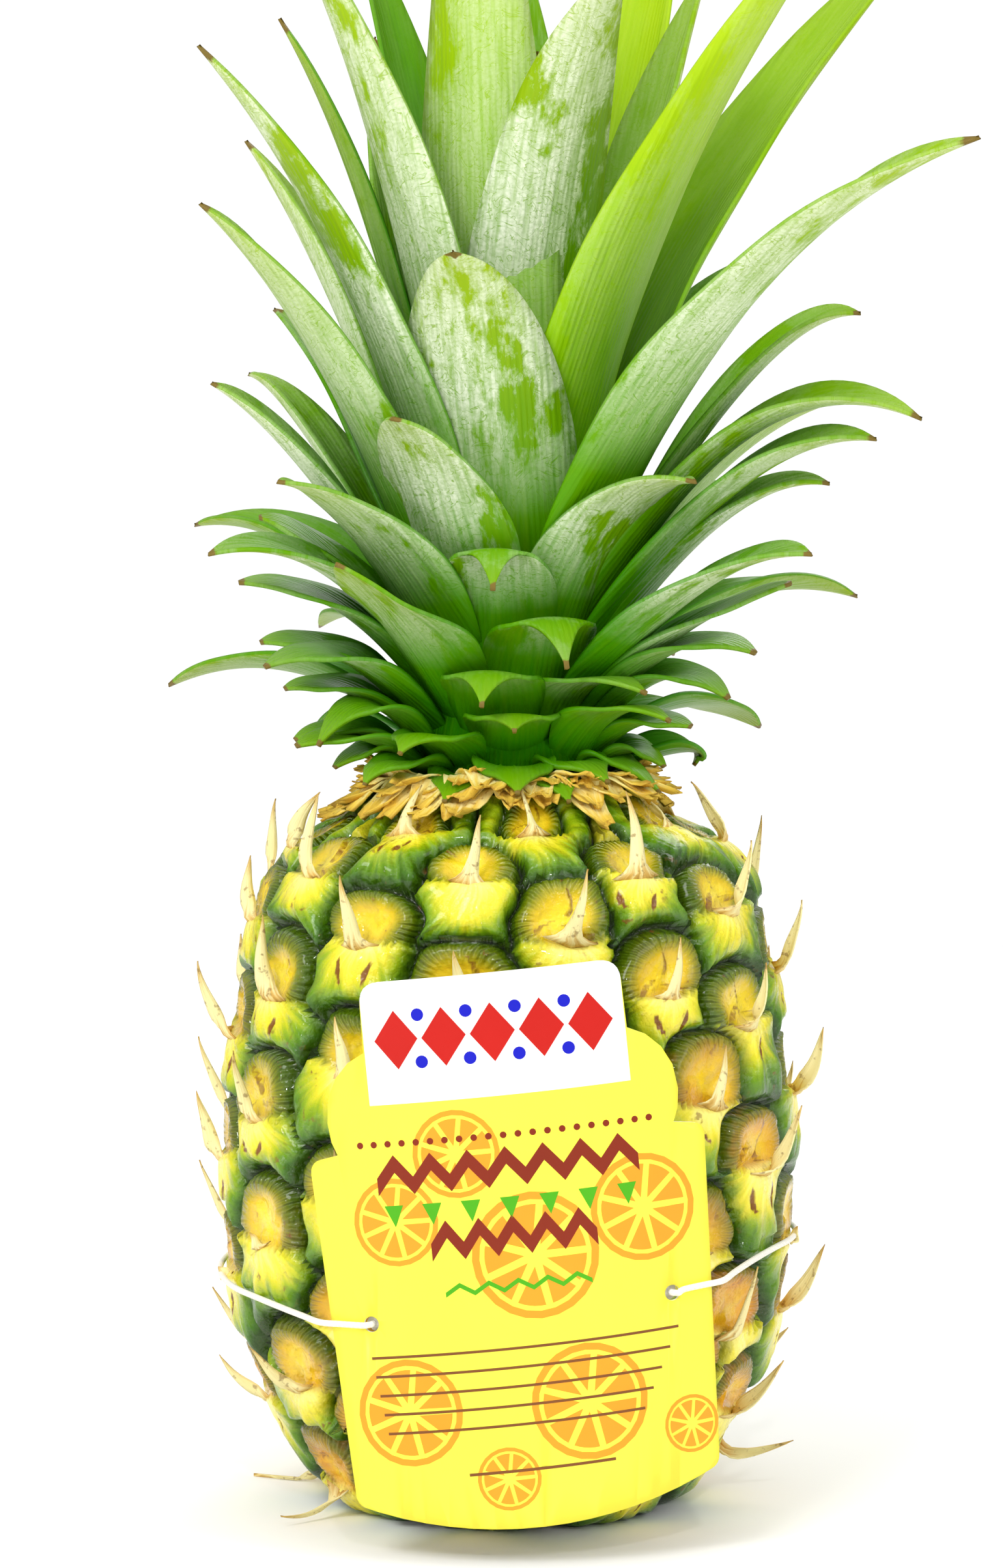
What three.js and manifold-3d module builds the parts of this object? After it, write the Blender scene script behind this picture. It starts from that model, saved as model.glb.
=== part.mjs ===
// A whole pineapple standing on its base, with its crown of leaves, a ring of dry bracts
// under the crown, and a card tag held on by a round elastic. Millimetres, +Z up, the
// origin at the centre of the flat base, the tag at the front towards -Y.
import * as THREE from 'three';
import { mergeVertices } from 'three/addons/utils/BufferGeometryUtils.js';
import Module from 'manifold-3d';

// Fruit
const FRUIT_HEIGHT = 155;
const BASE_RADIUS = 29;
const BELLY_RADIUS = 62.5;
const FRUIT_OUTLINE = [
  [BASE_RADIUS, 0], [35, 0.7], [41.5, 5], [48, 15], [55.5, 29], [59.8, 43], [62, 58],
  [BELLY_RADIUS, 74], [62, 88], [60.4, 101], [57.6, 119], [54, 134], [47.5, 143], [36, 149],
  [BASE_RADIUS, FRUIT_HEIGHT],
];
const OUTLINE_STEPS = 31;
const FRUIT_SIDES = 72;

// Eyes: each next eye down the spiral is turned by EYE_TURN and sits EYE_DROP lower
const EYE_TURN = -48;
const EYE_DROP = 1.8;
const TOP_EYE_TURN = -105;
const TOP_EYE_DISTANCE = 5.8;
const BOTTOM_EYE_DISTANCE = 8;
// Eyes that grew off the even spiral, as read from the photo: degrees turned, millimetres raised
const EYE_SHIFTS = {
  5: [-7, 1.5], 6: [0, 2], 7: [0, -4], 11: [0, 4], 12: [-7.5, -1], 14: [3, 2], 19: [-6, 2], 20: [-2, 0],
  22: [0, 4.4], 27: [-4, 0], 29: [-2, 2], 34: [-5, 4.8], 37: [0, 6], 42: [5, 4], 44: [-3, 3], 49: [-4, 1],
  52: [0, 6], 56: [-8, -4], 59: [0, 4], 64: [-11, -6], 67: [0, 8], 71: [0, 6], 74: [6, 0], 82: [0, 6],
};
const CREASE_DEPTH = 5;
const CREASE_HALF_WIDTH = 11;
const CREASE_SHARPNESS = 1.6;
const NOTCH_DEPTH = 1.2;
const NOTCH_HALF_WIDTH = 2.5;
const NOTCH_ABOVE_CENTRE = 1;
const BRACT_LENGTH = 14;
const BRACT_LENGTH_SPREAD = 0.3;
const BRACT_RADIUS = 2.6;
const BRACT_SIDES = 3;
const BRACT_ROOT_DEPTH = 1.2;
const BRACT_SINK = 2.4;
const BRACT_THINNING = 0.55;
const BRACT_LEAN = 38;
const BRACT_LEAN_SPREAD = 20;
const BRACT_LEAN_UNDER_TAG = 14;
const TAG_HALF_TURN = 48;
const BARE_SHOULDER = 24;
const BARE_BASE = 12;

// Crown
const GAP = 0.3;
const CROWN_FOOT = FRUIT_HEIGHT + GAP;
const STEM_FOOT_RADIUS = 22;
const STEM_TOP_RADIUS = 10;
const STEM_HEIGHT = 45;
const HEART_OUTLINE = [[0, 0], [STEM_FOOT_RADIUS, 0], [26, 6], [26, 24], [22, 50], [12, 80], [0, 86]];
const HEART_SIDES = 14;
const LEAF_ROOT_SINK = 2;
const LEAF_STEPS = 1.8;
const LEAF_STEP_LENGTH = 58;
const LEAF_THICKNESS = 1.0;
const LEAF_TIP_HALF_WIDTH = 0.6;
const LEAF_WIDEST_AT = 0.4;
const LEAF_TROUGH = 0.4;
const LEAF_TROUGH_GAIN = 0.05;

// Leaves seen from the front, lowest first. A row holds: turn from the front, root height,
// width, reach and height of the midrib half way, reach and height of the tip, twist.
const FRONT_LEAVES = [
  [3, 3, 22, 28, 7, 38, 3, 0], [-50, 3, 21, 33, 8, 40, 5, 0], [35, 3, 21, 25, 8, 35, 5, 0],
  [62, 3, 18, 27, 7, 37, 0, 0], [-76, 3, 17, 30, 9, 39, 5, 10], [78, 3, 17, 28, 9, 35, 5, -10],
  [-34, 5, 24, 32, 13, 41, 9, 0], [2, 8, 25, 28, 17, 38, 14, 0], [48, 6, 23, 31, 18, 46, 16, 0],
  [76, 6, 19, 30, 15, 41, 14, -15], [-65, 6, 21, 33, 19, 45, 10, 15], [-80, 4, 19, 35, 13, 47, 11, 15],
  [-72, 3, 19, 34, 12, 48, 10, 15], [-8, 10, 27, 30, 26, 40, 19, 0], [40, 11, 26, 27, 24, 45, 22, 0],
  [-68, 12, 23, 38, 29, 56, 27, 15], [-84, 12, 19, 38, 30, 54, 32, 20], [-82, 10, 19, 36, 22, 49, 22, 15],
  [72, 10, 21, 36, 25, 50, 20, -15], [65, 12, 21, 40, 31, 58, 30, -15], [-38, 15, 29, 38, 37, 57, 49, 15],
  [17, 14, 29, 30, 37, 42, 27, 0], [52, 16, 25, 52, 44, 79, 51, -20], [64, 15, 20, 44, 36, 66, 45, -20],
  [-64, 18, 24, 43, 47, 70, 51, 20], [-78, 17, 20, 38, 40, 59, 45, 20], [-3, 18, 30, 30, 53, 38, 44, 0],
  [-48, 21, 32, 40, 54, 64, 66, 10], [42, 21, 30, 33, 56, 58, 66, 0], [66, 22, 24, 52, 64, 84, 75, -20],
  [74, 20, 21, 46, 57, 71, 66, -20], [-28, 24, 32, 34, 63, 50, 79, 10], [-56, 26, 34, 44, 86, 76, 123, 25],
  [-68, 23, 23, 44, 66, 67, 87, 25], [-110, 24, 24, 43, 73, 61, 91, 0], [-85, 20, 19, 38, 50, 54, 59, 20],
  [66, 25, 24, 54, 75, 94, 79, -20], [-14, 28, 42, 29, 84, 47, 113, 0], [-55, 30, 30, 38, 102, 77, 155, 25],
  [46, 30, 36, 64, 99, 127, 132, -25], [76, 27, 21, 50, 85, 77, 102, -25], [25, 34, 36, 20, 118, 55, 172, 0],
  [50, 34, 38, 37, 113, 94, 188, -15], [-50, 33, 31, 27, 115, 61, 187, 15],
  [-130, 38, 30, 22, 120, 44, 192, 0],
  [-20, 40, 36, 19, 128, 24, 224, 0], [128, 37, 38, 52, 119, 132, 204, 0], [150, 42, 36, 42, 134, 82, 222, 0],
  [-80, 34, 16, 27, 111, 49, 165, 0],
];
const INNER_LEAF_COUNT = 5;
const INNER_LEAF_WIDTH = 24;
const BACK_LEAF_COUNT = 23;
const BACK_LEAF_START = 102;
const BACK_LEAF_SPAN = 158;
const BACK_LEAF_TURN = 61;

// Dry bracts under the crown
const COLLAR_INNER_RADIUS = STEM_FOOT_RADIUS + 2.5;
const COLLAR_HUMP_RADIUS = 30;
const COLLAR_HUMP = 0.6;
const COLLAR_VALLEY_RADIUS = 31.5;
const COLLAR_VALLEY_CURL = 0.4;
const COLLAR_TIP_RADIUS = 36;
const COLLAR_TIP_SPREAD = 6;
const COLLAR_TIP_CURL = 2.5;
const COLLAR_TEETH = 30;
const COLLAR_THICKNESS = 0.8;
const COLLAR_CLEARANCE = 0.7;

// Tag, measured flat on the card from the centre of its body: right, up
const TAG_THICKNESS = 0.6;
const TAG_BEND_RADIUS = 92;
const TAG_TILT = 6;
const TAG_CENTRE = [3, 50];
const TAG_FRONT = 68.5;
const TAG_BOTTOM_BOW = 7;
const TAG_COLUMNS = 8;
const TAG_TOP = 72;
// Height on the card and half its width there: body, rounded shoulder, upper panel
const TAG_OUTLINE = [
  [-34, 38.5], [-31.5, 40.8], [-12, 41.2], [10, 41.4], [32, 41.8], [35.5, 40.4], [37.5, 36.8], [44, 36.2],
  [50, 34], [54.5, 30.5], [57, 27.4], [68, 27], [71, 25.2], [TAG_TOP, 22],
];
const HOLE_OFFSET = [31.4, 2.5];
const HOLE_RADIUS = 1.6;
const HOLE_SIDES = 12;

// Elastic
const ELASTIC_RADIUS = 0.65;
const ELASTIC_SIDES = 6;
const ELASTIC_ORBIT = 62.8;
const ELASTIC_LEFT_HEIGHT = 49.5;
const ELASTIC_RIGHT_HEIGHT = 60;
const ORBIT_START = 66;
const ORBIT_STEPS = 32;
const KNOT_RADIUS = 2;
const OFF_CARD = 0.4;
const CARD_CLEARANCE = 0.5;

const UP = new THREE.Vector3(0, 0, 1);
const wasm = await Module();
wasm.setup();

// Outward direction on the ground for a turn from the front, positive to the right
function outward(turn) {
  const angle = THREE.MathUtils.degToRad(turn);
  return new THREE.Vector3(Math.sin(angle), -Math.cos(angle), 0);
}

// A fraction between 0 and 1 that looks random but is the same every time
function jitter(index, salt) {
  const wave = Math.sin(index * 12.9898 + salt * 78.233) * 43758.5453;
  return wave - Math.floor(wave);
}

function solidFrom(geometry) {
  const bare = geometry.index ? geometry.toNonIndexed() : geometry.clone();
  bare.deleteAttribute('normal');
  bare.deleteAttribute('uv');
  const merged = mergeVertices(bare, 1e-4);
  const corners = merged.index.array;
  const triangles = [];
  for (let first = 0; first < corners.length; first += 3) {
    const triangle = [...corners.slice(first, first + 3)];
    if (new Set(triangle).size === 3) triangles.push(...triangle);
  }
  return new wasm.Manifold(new wasm.Mesh({
    numProp: 3,
    vertProperties: new Float32Array(merged.attributes.position.array),
    triVerts: new Uint32Array(triangles),
  }));
}

// The outermost skin of a solid: hollows sealed inside it are filled, loose scraps dropped
function outerSkin(corners, vertexCount) {
  const parent = Uint32Array.from({ length: vertexCount }, (_, index) => index);
  const find = (vertex) => {
    let root = vertex;
    while (parent[root] !== root) root = parent[root];
    parent[vertex] = root;
    return root;
  };
  for (let first = 0; first < corners.length; first += 3) {
    parent[find(corners[first])] = find(corners[first + 1]);
    parent[find(corners[first + 1])] = find(corners[first + 2]);
  }
  const skins = new Map();
  for (let first = 0; first < corners.length; first += 3) {
    const root = find(corners[first]);
    if (!skins.has(root)) skins.set(root, []);
    skins.get(root).push(...corners.slice(first, first + 3));
  }
  return [...skins.values()].sort((a, b) => b.length - a.length)[0];
}

function geometryFrom(solid) {
  const mesh = solid.getMesh();
  const geometry = new THREE.BufferGeometry();
  geometry.setAttribute('position', new THREE.BufferAttribute(mesh.vertProperties, 3));
  geometry.setIndex(outerSkin(mesh.triVerts, mesh.vertProperties.length / 3));
  return geometry;
}

// A closed sheet from two matching grids of points, the inner face and the outer face
function sheetGeometry(inner, outer, wraps) {
  const rows = inner.length;
  const columns = inner[0].length;
  const positions = [];
  const indices = [];
  for (const point of [...inner.flat(), ...outer.flat()]) positions.push(point.x, point.y, point.z);
  const at = (face, row, column) => face * rows * columns + row * columns + (column % columns);
  const quad = (a, b, c, d) => indices.push(a, b, c, a, c, d);
  const spans = wraps ? columns : columns - 1;
  for (let row = 0; row < rows - 1; row += 1) {
    for (let column = 0; column < spans; column += 1) {
      quad(at(0, row, column), at(0, row, column + 1), at(0, row + 1, column + 1), at(0, row + 1, column));
      quad(at(1, row, column), at(1, row + 1, column), at(1, row + 1, column + 1), at(1, row, column + 1));
    }
    if (!wraps) {
      quad(at(0, row, 0), at(0, row + 1, 0), at(1, row + 1, 0), at(1, row, 0));
      const last = columns - 1;
      quad(at(0, row, last), at(1, row, last), at(1, row + 1, last), at(0, row + 1, last));
    }
  }
  for (let column = 0; column < spans; column += 1) {
    quad(at(0, 0, column), at(1, 0, column), at(1, 0, column + 1), at(0, 0, column + 1));
    const end = rows - 1;
    quad(at(0, end, column), at(0, end, column + 1), at(1, end, column + 1), at(1, end, column));
  }
  const geometry = new THREE.BufferGeometry();
  geometry.setAttribute('position', new THREE.Float32BufferAttribute(positions, 3));
  geometry.setIndex(indices);
  return geometry;
}

// Fruit: the outline is a smooth curve, and places on it are distances along it from the base
const outline = new THREE.SplineCurve(FRUIT_OUTLINE.map(([radius, z]) => new THREE.Vector2(radius, z)));
outline.arcLengthDivisions = 400;
const outlineLength = outline.getLength();

function listEyes() {
  const eyes = [];
  const highest = outlineLength - TOP_EYE_DISTANCE;
  for (let index = 0; highest - index * EYE_DROP > BOTTOM_EYE_DISTANCE; index += 1) {
    const [turned, raised] = EYE_SHIFTS[index] ?? [0, 0];
    eyes.push({
      turn: TOP_EYE_TURN + index * EYE_TURN + turned,
      distance: highest - index * EYE_DROP + raised,
    });
  }
  return eyes;
}

// How far the skin lies below the outline: creases between the eyes, and a notch across each
function skinDepth(turn, distance, radius, eyes) {
  let nearest = Infinity;
  let second = Infinity;
  let above = 0;
  for (const eye of eyes) {
    const up = distance - eye.distance;
    const wrapped = THREE.MathUtils.euclideanModulo(turn - eye.turn + 180, 360) - 180;
    const span = Math.hypot(THREE.MathUtils.degToRad(wrapped) * radius, up);
    if (span < nearest) {
      second = nearest;
      nearest = span;
      above = up;
    } else if (span < second) {
      second = span;
    }
  }
  const fromEdge = Math.min(1, (second - nearest) / 2 / CREASE_HALF_WIDTH);
  const crease = CREASE_DEPTH * (1 - fromEdge) ** CREASE_SHARPNESS;
  const fromNotch = (above - NOTCH_ABOVE_CENTRE) / NOTCH_HALF_WIDTH;
  const notch = NOTCH_DEPTH * Math.exp(-(fromNotch ** 2)) * fromEdge;
  const endFade = Math.min(1, distance / BARE_BASE, (outlineLength - distance) / BARE_BASE);
  return (crease + notch) * endFade;
}

function skinGeometry(eyes) {
  const rings = [new THREE.Vector2(0, 0)];
  for (let step = 0; step <= OUTLINE_STEPS; step += 1) rings.push(outline.getPointAt(step / OUTLINE_STEPS));
  rings.push(new THREE.Vector2(0, FRUIT_HEIGHT));
  const geometry = new THREE.LatheGeometry(rings, FRUIT_SIDES);
  const position = geometry.attributes.position;
  for (let side = 0; side <= FRUIT_SIDES; side += 1) {
    for (let step = 0; step <= OUTLINE_STEPS; step += 1) {
      const index = side * rings.length + step + 1;
      const turn = (side / FRUIT_SIDES) * 360;
      const ring = outline.getPointAt(step / OUTLINE_STEPS);
      const tangent = outline.getTangentAt(step / OUTLINE_STEPS);
      const depth = skinDepth(turn, (step / OUTLINE_STEPS) * outlineLength, ring.x, eyes);
      const place = outward(turn).multiplyScalar(ring.x - depth * tangent.y);
      position.setXYZ(index, place.x, ring.y + depth * tangent.x, -place.y);
    }
  }
  return geometry.rotateX(Math.PI / 2);
}

// The dry pointed bract in the middle of an eye, leaning out from the skin
function bractSolid(eye, index) {
  const fraction = eye.distance / outlineLength;
  const ring = outline.getPointAt(fraction);
  const tangent = outline.getTangentAt(fraction);
  const out = outward(eye.turn);
  const along = out.clone().multiplyScalar(tangent.x).addScaledVector(UP, tangent.y);
  const normal = out.clone().multiplyScalar(tangent.y).addScaledVector(UP, -tangent.x);
  const fromFront = Math.abs(THREE.MathUtils.euclideanModulo(eye.turn + 180, 360) - 180);
  const isUnderTag = fromFront < TAG_HALF_TURN && ring.y < TAG_CENTRE[1] + TAG_TOP;
  const freeLean = BRACT_LEAN + BRACT_LEAN_SPREAD * (jitter(index, 1) - 0.5);
  const lean = isUnderTag ? BRACT_LEAN_UNDER_TAG : freeLean;
  const direction = along.applyAxisAngle(new THREE.Vector3().crossVectors(along, normal).normalize(),
    THREE.MathUtils.degToRad(lean));
  const spread = BRACT_LENGTH_SPREAD * (jitter(index, 2) - 0.5);
  const length = BRACT_LENGTH * (1 + spread) + BRACT_SINK;
  const cone = new THREE.ConeGeometry(BRACT_RADIUS, length, BRACT_SIDES);
  cone.translate(0, length / 2 - BRACT_SINK, 0);
  const side = new THREE.Vector3().crossVectors(direction, normal).normalize();
  const flat = new THREE.Vector3().crossVectors(side, direction).multiplyScalar(BRACT_THINNING);
  const place = out.multiplyScalar(ring.x).addScaledVector(UP, ring.y)
    .addScaledVector(normal, -BRACT_ROOT_DEPTH);
  cone.applyMatrix4(new THREE.Matrix4().makeBasis(side, direction, flat).setPosition(place));
  return solidFrom(cone);
}

function fruitSolid(cutters) {
  const eyes = listEyes();
  let fruit = solidFrom(skinGeometry(eyes));
  eyes.forEach((eye, index) => {
    const clearOfEnds = eye.distance > BARE_BASE && eye.distance < outlineLength - BARE_SHOULDER;
    if (clearOfEnds) fruit = fruit.add(bractSolid(eye, index));
  });
  for (const cutter of cutters) fruit = fruit.subtract(cutter);
  return fruit;
}

// Leaves
function stemRadius(height) {
  const fraction = THREE.MathUtils.clamp(height / STEM_HEIGHT, 0, 1);
  return STEM_FOOT_RADIUS + (STEM_TOP_RADIUS - STEM_FOOT_RADIUS) * fraction;
}

// Half the full width at the root, the full width from LEAF_WIDEST_AT on, then a long taper
function leafHalfWidth(fraction, width) {
  const swell = 0.5 + 0.5 * Math.sin((Math.PI / 2) * Math.min(fraction / LEAF_WIDEST_AT, 1));
  const taper = (1 - fraction ** 2.4) ** 0.85;
  return Math.max(LEAF_TIP_HALF_WIDTH, 0.5 * width * swell * taper);
}

// The midrib is a curve from the stem through the half-way point to the tip, and the margins
// rise from it towards the inner face, so that each leaf is a channel open to the stem
function leafSolid([turn, root, width, middleReach, middleHeight, tipReach, tipHeight, twist]) {
  const start = new THREE.Vector2(stemRadius(root) - LEAF_ROOT_SINK, root);
  const tip = new THREE.Vector2(tipReach, tipHeight);
  const elbow = new THREE.Vector2(middleReach, middleHeight).multiplyScalar(2)
    .addScaledVector(start, -0.5).addScaledVector(tip, -0.5);
  const midrib = new THREE.QuadraticBezierCurve(start, elbow, tip);
  const steps = Math.round(LEAF_STEPS + midrib.getLength() / LEAF_STEP_LENGTH);
  const out = outward(turn);
  const across = new THREE.Vector3(-out.y, out.x, 0);
  const upper = [];
  const lower = [];
  for (let step = 0; step <= steps; step += 1) {
    const fraction = step / steps;
    const point = midrib.getPoint(fraction);
    const tangent = midrib.getTangent(fraction);
    const centre = out.clone().multiplyScalar(point.x).addScaledVector(UP, CROWN_FOOT + point.y);
    const along = out.clone().multiplyScalar(tangent.x).addScaledVector(UP, tangent.y);
    const roll = THREE.MathUtils.degToRad(twist * Math.sqrt(fraction));
    const side = across.clone().applyAxisAngle(along, -roll);
    const facing = new THREE.Vector3().crossVectors(along, side);
    const halfWidth = leafHalfWidth(fraction, width);
    const trough = halfWidth * (LEAF_TROUGH + LEAF_TROUGH_GAIN * fraction);
    const row = [-1, 0, 1].map((u) => centre.clone().addScaledVector(side, halfWidth * u)
      .addScaledVector(facing, trough * u * u));
    upper.push(row);
    lower.push(row.map((place) => place.clone().addScaledVector(facing, -LEAF_THICKNESS)));
  }
  return solidFrom(sheetGeometry(lower, upper, false));
}

// The leaves behind, which follow the same heights as those in front, and the upright ones
// that close over the heart
function otherLeaves() {
  const leaves = [];
  for (let index = 0; index < INNER_LEAF_COUNT; index += 1) {
    const turn = 20 + (index * 360) / INNER_LEAF_COUNT;
    const height = 120 + 40 * jitter(index, 9);
    leaves.push([turn, 42, INNER_LEAF_WIDTH, 12, 84, 13 + 6 * jitter(index, 10), height, 0]);
  }
  for (let index = 0; index < BACK_LEAF_COUNT; index += 1) {
    const level = index / (BACK_LEAF_COUNT - 1);
    const turn = BACK_LEAF_START + ((index * BACK_LEAF_TURN) % BACK_LEAF_SPAN);
    const reach = 40 + 42 * Math.sin(Math.PI * level ** 0.8) + 8 * jitter(index, 3);
    const height = 4 + 190 * level ** 1.6;
    const width = 20 + 14 * level + 4 * jitter(index, 4);
    const middleReach = 24 + 0.38 * reach - 14 * level;
    const middleHeight = 0.6 * height + 6 + 10 * Math.sin(Math.PI * level);
    const twist = 20 * jitter(index, 5) - 10;
    leaves.push([turn, 3 + 36 * level, width, middleReach, middleHeight, reach, height, twist]);
  }
  return leaves;
}

function crownSolid() {
  const rings = HEART_OUTLINE.map(([radius, height]) => new THREE.Vector2(radius, height));
  const heart = new THREE.LatheGeometry(rings, HEART_SIDES).rotateX(Math.PI / 2).translate(0, 0, CROWN_FOOT);
  let crown = solidFrom(heart);
  for (const leaf of [...FRONT_LEAVES, ...otherLeaves()]) crown = crown.add(leafSolid(leaf));
  return crown;
}

// Height of the fruit's shoulder at a radius, for the dry bracts that lie on it
function shoulderHeight(radius) {
  let low = 0.7;
  let high = 1;
  for (let step = 0; step < 24; step += 1) {
    const middle = (low + high) / 2;
    if (outline.getPointAt(middle).x > radius) low = middle;
    else high = middle;
  }
  return radius < BASE_RADIUS ? FRUIT_HEIGHT : outline.getPointAt(low).y;
}

function collarGeometry() {
  const under = [[], [], []];
  const over = [[], [], []];
  for (let column = 0; column < COLLAR_TEETH * 2; column += 1) {
    const isTip = column % 2 === 1;
    const turn = ((column + 0.5 * (jitter(column, 6) - 0.5)) / (COLLAR_TEETH * 2)) * 360;
    const reach = isTip ? COLLAR_TIP_RADIUS + COLLAR_TIP_SPREAD * jitter(column, 7) : COLLAR_VALLEY_RADIUS;
    const curl = isTip ? COLLAR_TIP_CURL * jitter(column, 8) : COLLAR_VALLEY_CURL;
    const lifts = [0, COLLAR_HUMP, curl];
    [COLLAR_INNER_RADIUS, COLLAR_HUMP_RADIUS, reach].forEach((radius, row) => {
      const height = shoulderHeight(radius) + COLLAR_CLEARANCE + lifts[row];
      const place = outward(turn).multiplyScalar(radius).addScaledVector(UP, height);
      under[row].push(place);
      over[row].push(place.clone().addScaledVector(UP, COLLAR_THICKNESS));
    });
  }
  return sheetGeometry(under, over, true);
}

// A place on the bent card: right and up on the flat card, then height above its front face
function onTag(right, up, proud) {
  const tilt = THREE.MathUtils.degToRad(TAG_TILT);
  const level = right * Math.cos(tilt) - up * Math.sin(tilt);
  const rise = right * Math.sin(tilt) + up * Math.cos(tilt);
  const angle = level / TAG_BEND_RADIUS;
  const radius = TAG_BEND_RADIUS + proud;
  const hub = TAG_BEND_RADIUS - TAG_FRONT;
  return new THREE.Vector3(TAG_CENTRE[0] + radius * Math.sin(angle), hub - radius * Math.cos(angle),
    TAG_CENTRE[1] + rise);
}

function tagSolid(margin) {
  const front = [];
  const back = [];
  TAG_OUTLINE.forEach(([height, halfWidth], row) => {
    const level = height === TAG_TOP ? height + margin : height - margin;
    const ups = [];
    for (let column = 0; column <= TAG_COLUMNS; column += 1) {
      const across = (2 * column) / TAG_COLUMNS - 1;
      const bow = row === 0 ? TAG_BOTTOM_BOW * (1 - across * across) : 0;
      ups.push([across * (halfWidth + margin), level - bow]);
    }
    front.push(ups.map(([right, up]) => onTag(right, up, margin)));
    back.push(ups.map(([right, up]) => onTag(right, up, -TAG_THICKNESS - margin)));
  });
  return solidFrom(sheetGeometry(front, back, false));
}

function punchedTag() {
  let card = tagSolid(0);
  for (const side of [-1, 1]) {
    const reach = 6;
    const inside = onTag(side * HOLE_OFFSET[0], HOLE_OFFSET[1], -reach);
    const outside = onTag(side * HOLE_OFFSET[0], HOLE_OFFSET[1], reach);
    card = card.subtract(solidFrom(tubeGeometry([inside, outside], HOLE_RADIUS, HOLE_SIDES)));
  }
  return card;
}

// A round bar through a row of places that keeps near level
function tubeGeometry(places, radius, sides) {
  const positions = [];
  const indices = [];
  places.forEach((place, step) => {
    const before = places[Math.max(0, step - 1)];
    const after = places[Math.min(places.length - 1, step + 1)];
    const along = after.clone().sub(before).normalize();
    const side = new THREE.Vector3().crossVectors(UP, along).normalize();
    const rise = new THREE.Vector3().crossVectors(along, side);
    for (let corner = 0; corner < sides; corner += 1) {
      const angle = (corner / sides) * 2 * Math.PI;
      const point = place.clone().addScaledVector(side, radius * Math.cos(angle))
        .addScaledVector(rise, radius * Math.sin(angle));
      positions.push(point.x, point.y, point.z);
      const next = step * sides + ((corner + 1) % sides);
      const here = step * sides + corner;
      if (step > 0) indices.push(here - sides, next - sides, next, here - sides, next, here);
    }
  });
  const last = (places.length - 1) * sides;
  for (let corner = 1; corner < sides - 1; corner += 1) {
    indices.push(0, corner + 1, corner, last, last + corner, last + corner + 1);
  }
  const geometry = new THREE.BufferGeometry();
  geometry.setAttribute('position', new THREE.Float32BufferAttribute(positions, 3));
  geometry.setIndex(indices);
  return geometry;
}

// Elastic: out of one hole, round the back of the fruit, and in at the other
function elasticRoute() {
  const proud = ELASTIC_RADIUS + OFF_CARD;
  const behind = TAG_THICKNESS + OFF_CARD + KNOT_RADIUS;
  const [right, up] = HOLE_OFFSET;
  // From the knot behind the card, through the hole, and along the front to just past the edge
  const steps = [[right, -behind], [right, -TAG_THICKNESS / 2], [right + 0.25, 0.5], [right + 1, proud],
    [right + 2.2, proud], [38, proud], [42.5, proud]];
  const fromHole = (side) => steps.map(([across, height]) => onTag(side * across, up, height));
  const around = [];
  for (let step = 0; step <= ORBIT_STEPS; step += 1) {
    const fraction = step / ORBIT_STEPS;
    const turn = -ORBIT_START - (360 - 2 * ORBIT_START) * fraction;
    const height = THREE.MathUtils.lerp(ELASTIC_LEFT_HEIGHT, ELASTIC_RIGHT_HEIGHT, fraction);
    around.push(outward(turn).multiplyScalar(ELASTIC_ORBIT).addScaledVector(UP, height));
  }
  return [...fromHole(-1), ...around, ...fromHole(1).reverse()];
}

function elasticSolid(margin) {
  const route = elasticRoute();
  let elastic = solidFrom(tubeGeometry(route, ELASTIC_RADIUS + margin, ELASTIC_SIDES));
  for (const end of [route[0], route[route.length - 1]]) {
    const knot = new THREE.IcosahedronGeometry(KNOT_RADIUS + margin, 1).translate(end.x, end.y, end.z);
    elastic = elastic.add(solidFrom(knot));
  }
  return elastic;
}

function part(name, geometry, color, roughness) {
  const mesh = new THREE.Mesh(geometry, new THREE.MeshStandardMaterial({ color, roughness, metalness: 0 }));
  mesh.name = name;
  return mesh;
}

const elastic = elasticSolid(0);
const pineapple = new THREE.Group();
pineapple.name = 'pineapple';
pineapple.add(
  part('fruit', geometryFrom(fruitSolid([tagSolid(CARD_CLEARANCE), elasticSolid(OFF_CARD)])), '#a9a32a', 0.5),
  part('crown', geometryFrom(crownSolid()), '#4f9420', 0.45),
  part('dry_bract_collar', collarGeometry(), '#b08a45', 0.8),
  part('tag', geometryFrom(punchedTag()), '#fff06a', 0.35),
  part('tag_elastic', geometryFrom(elastic), '#f4efe2', 0.6),
);

export default pineapple;
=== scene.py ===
import math
from functools import partial

import bmesh
import bpy
import numpy as np
from mathutils import Matrix, Vector


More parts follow.
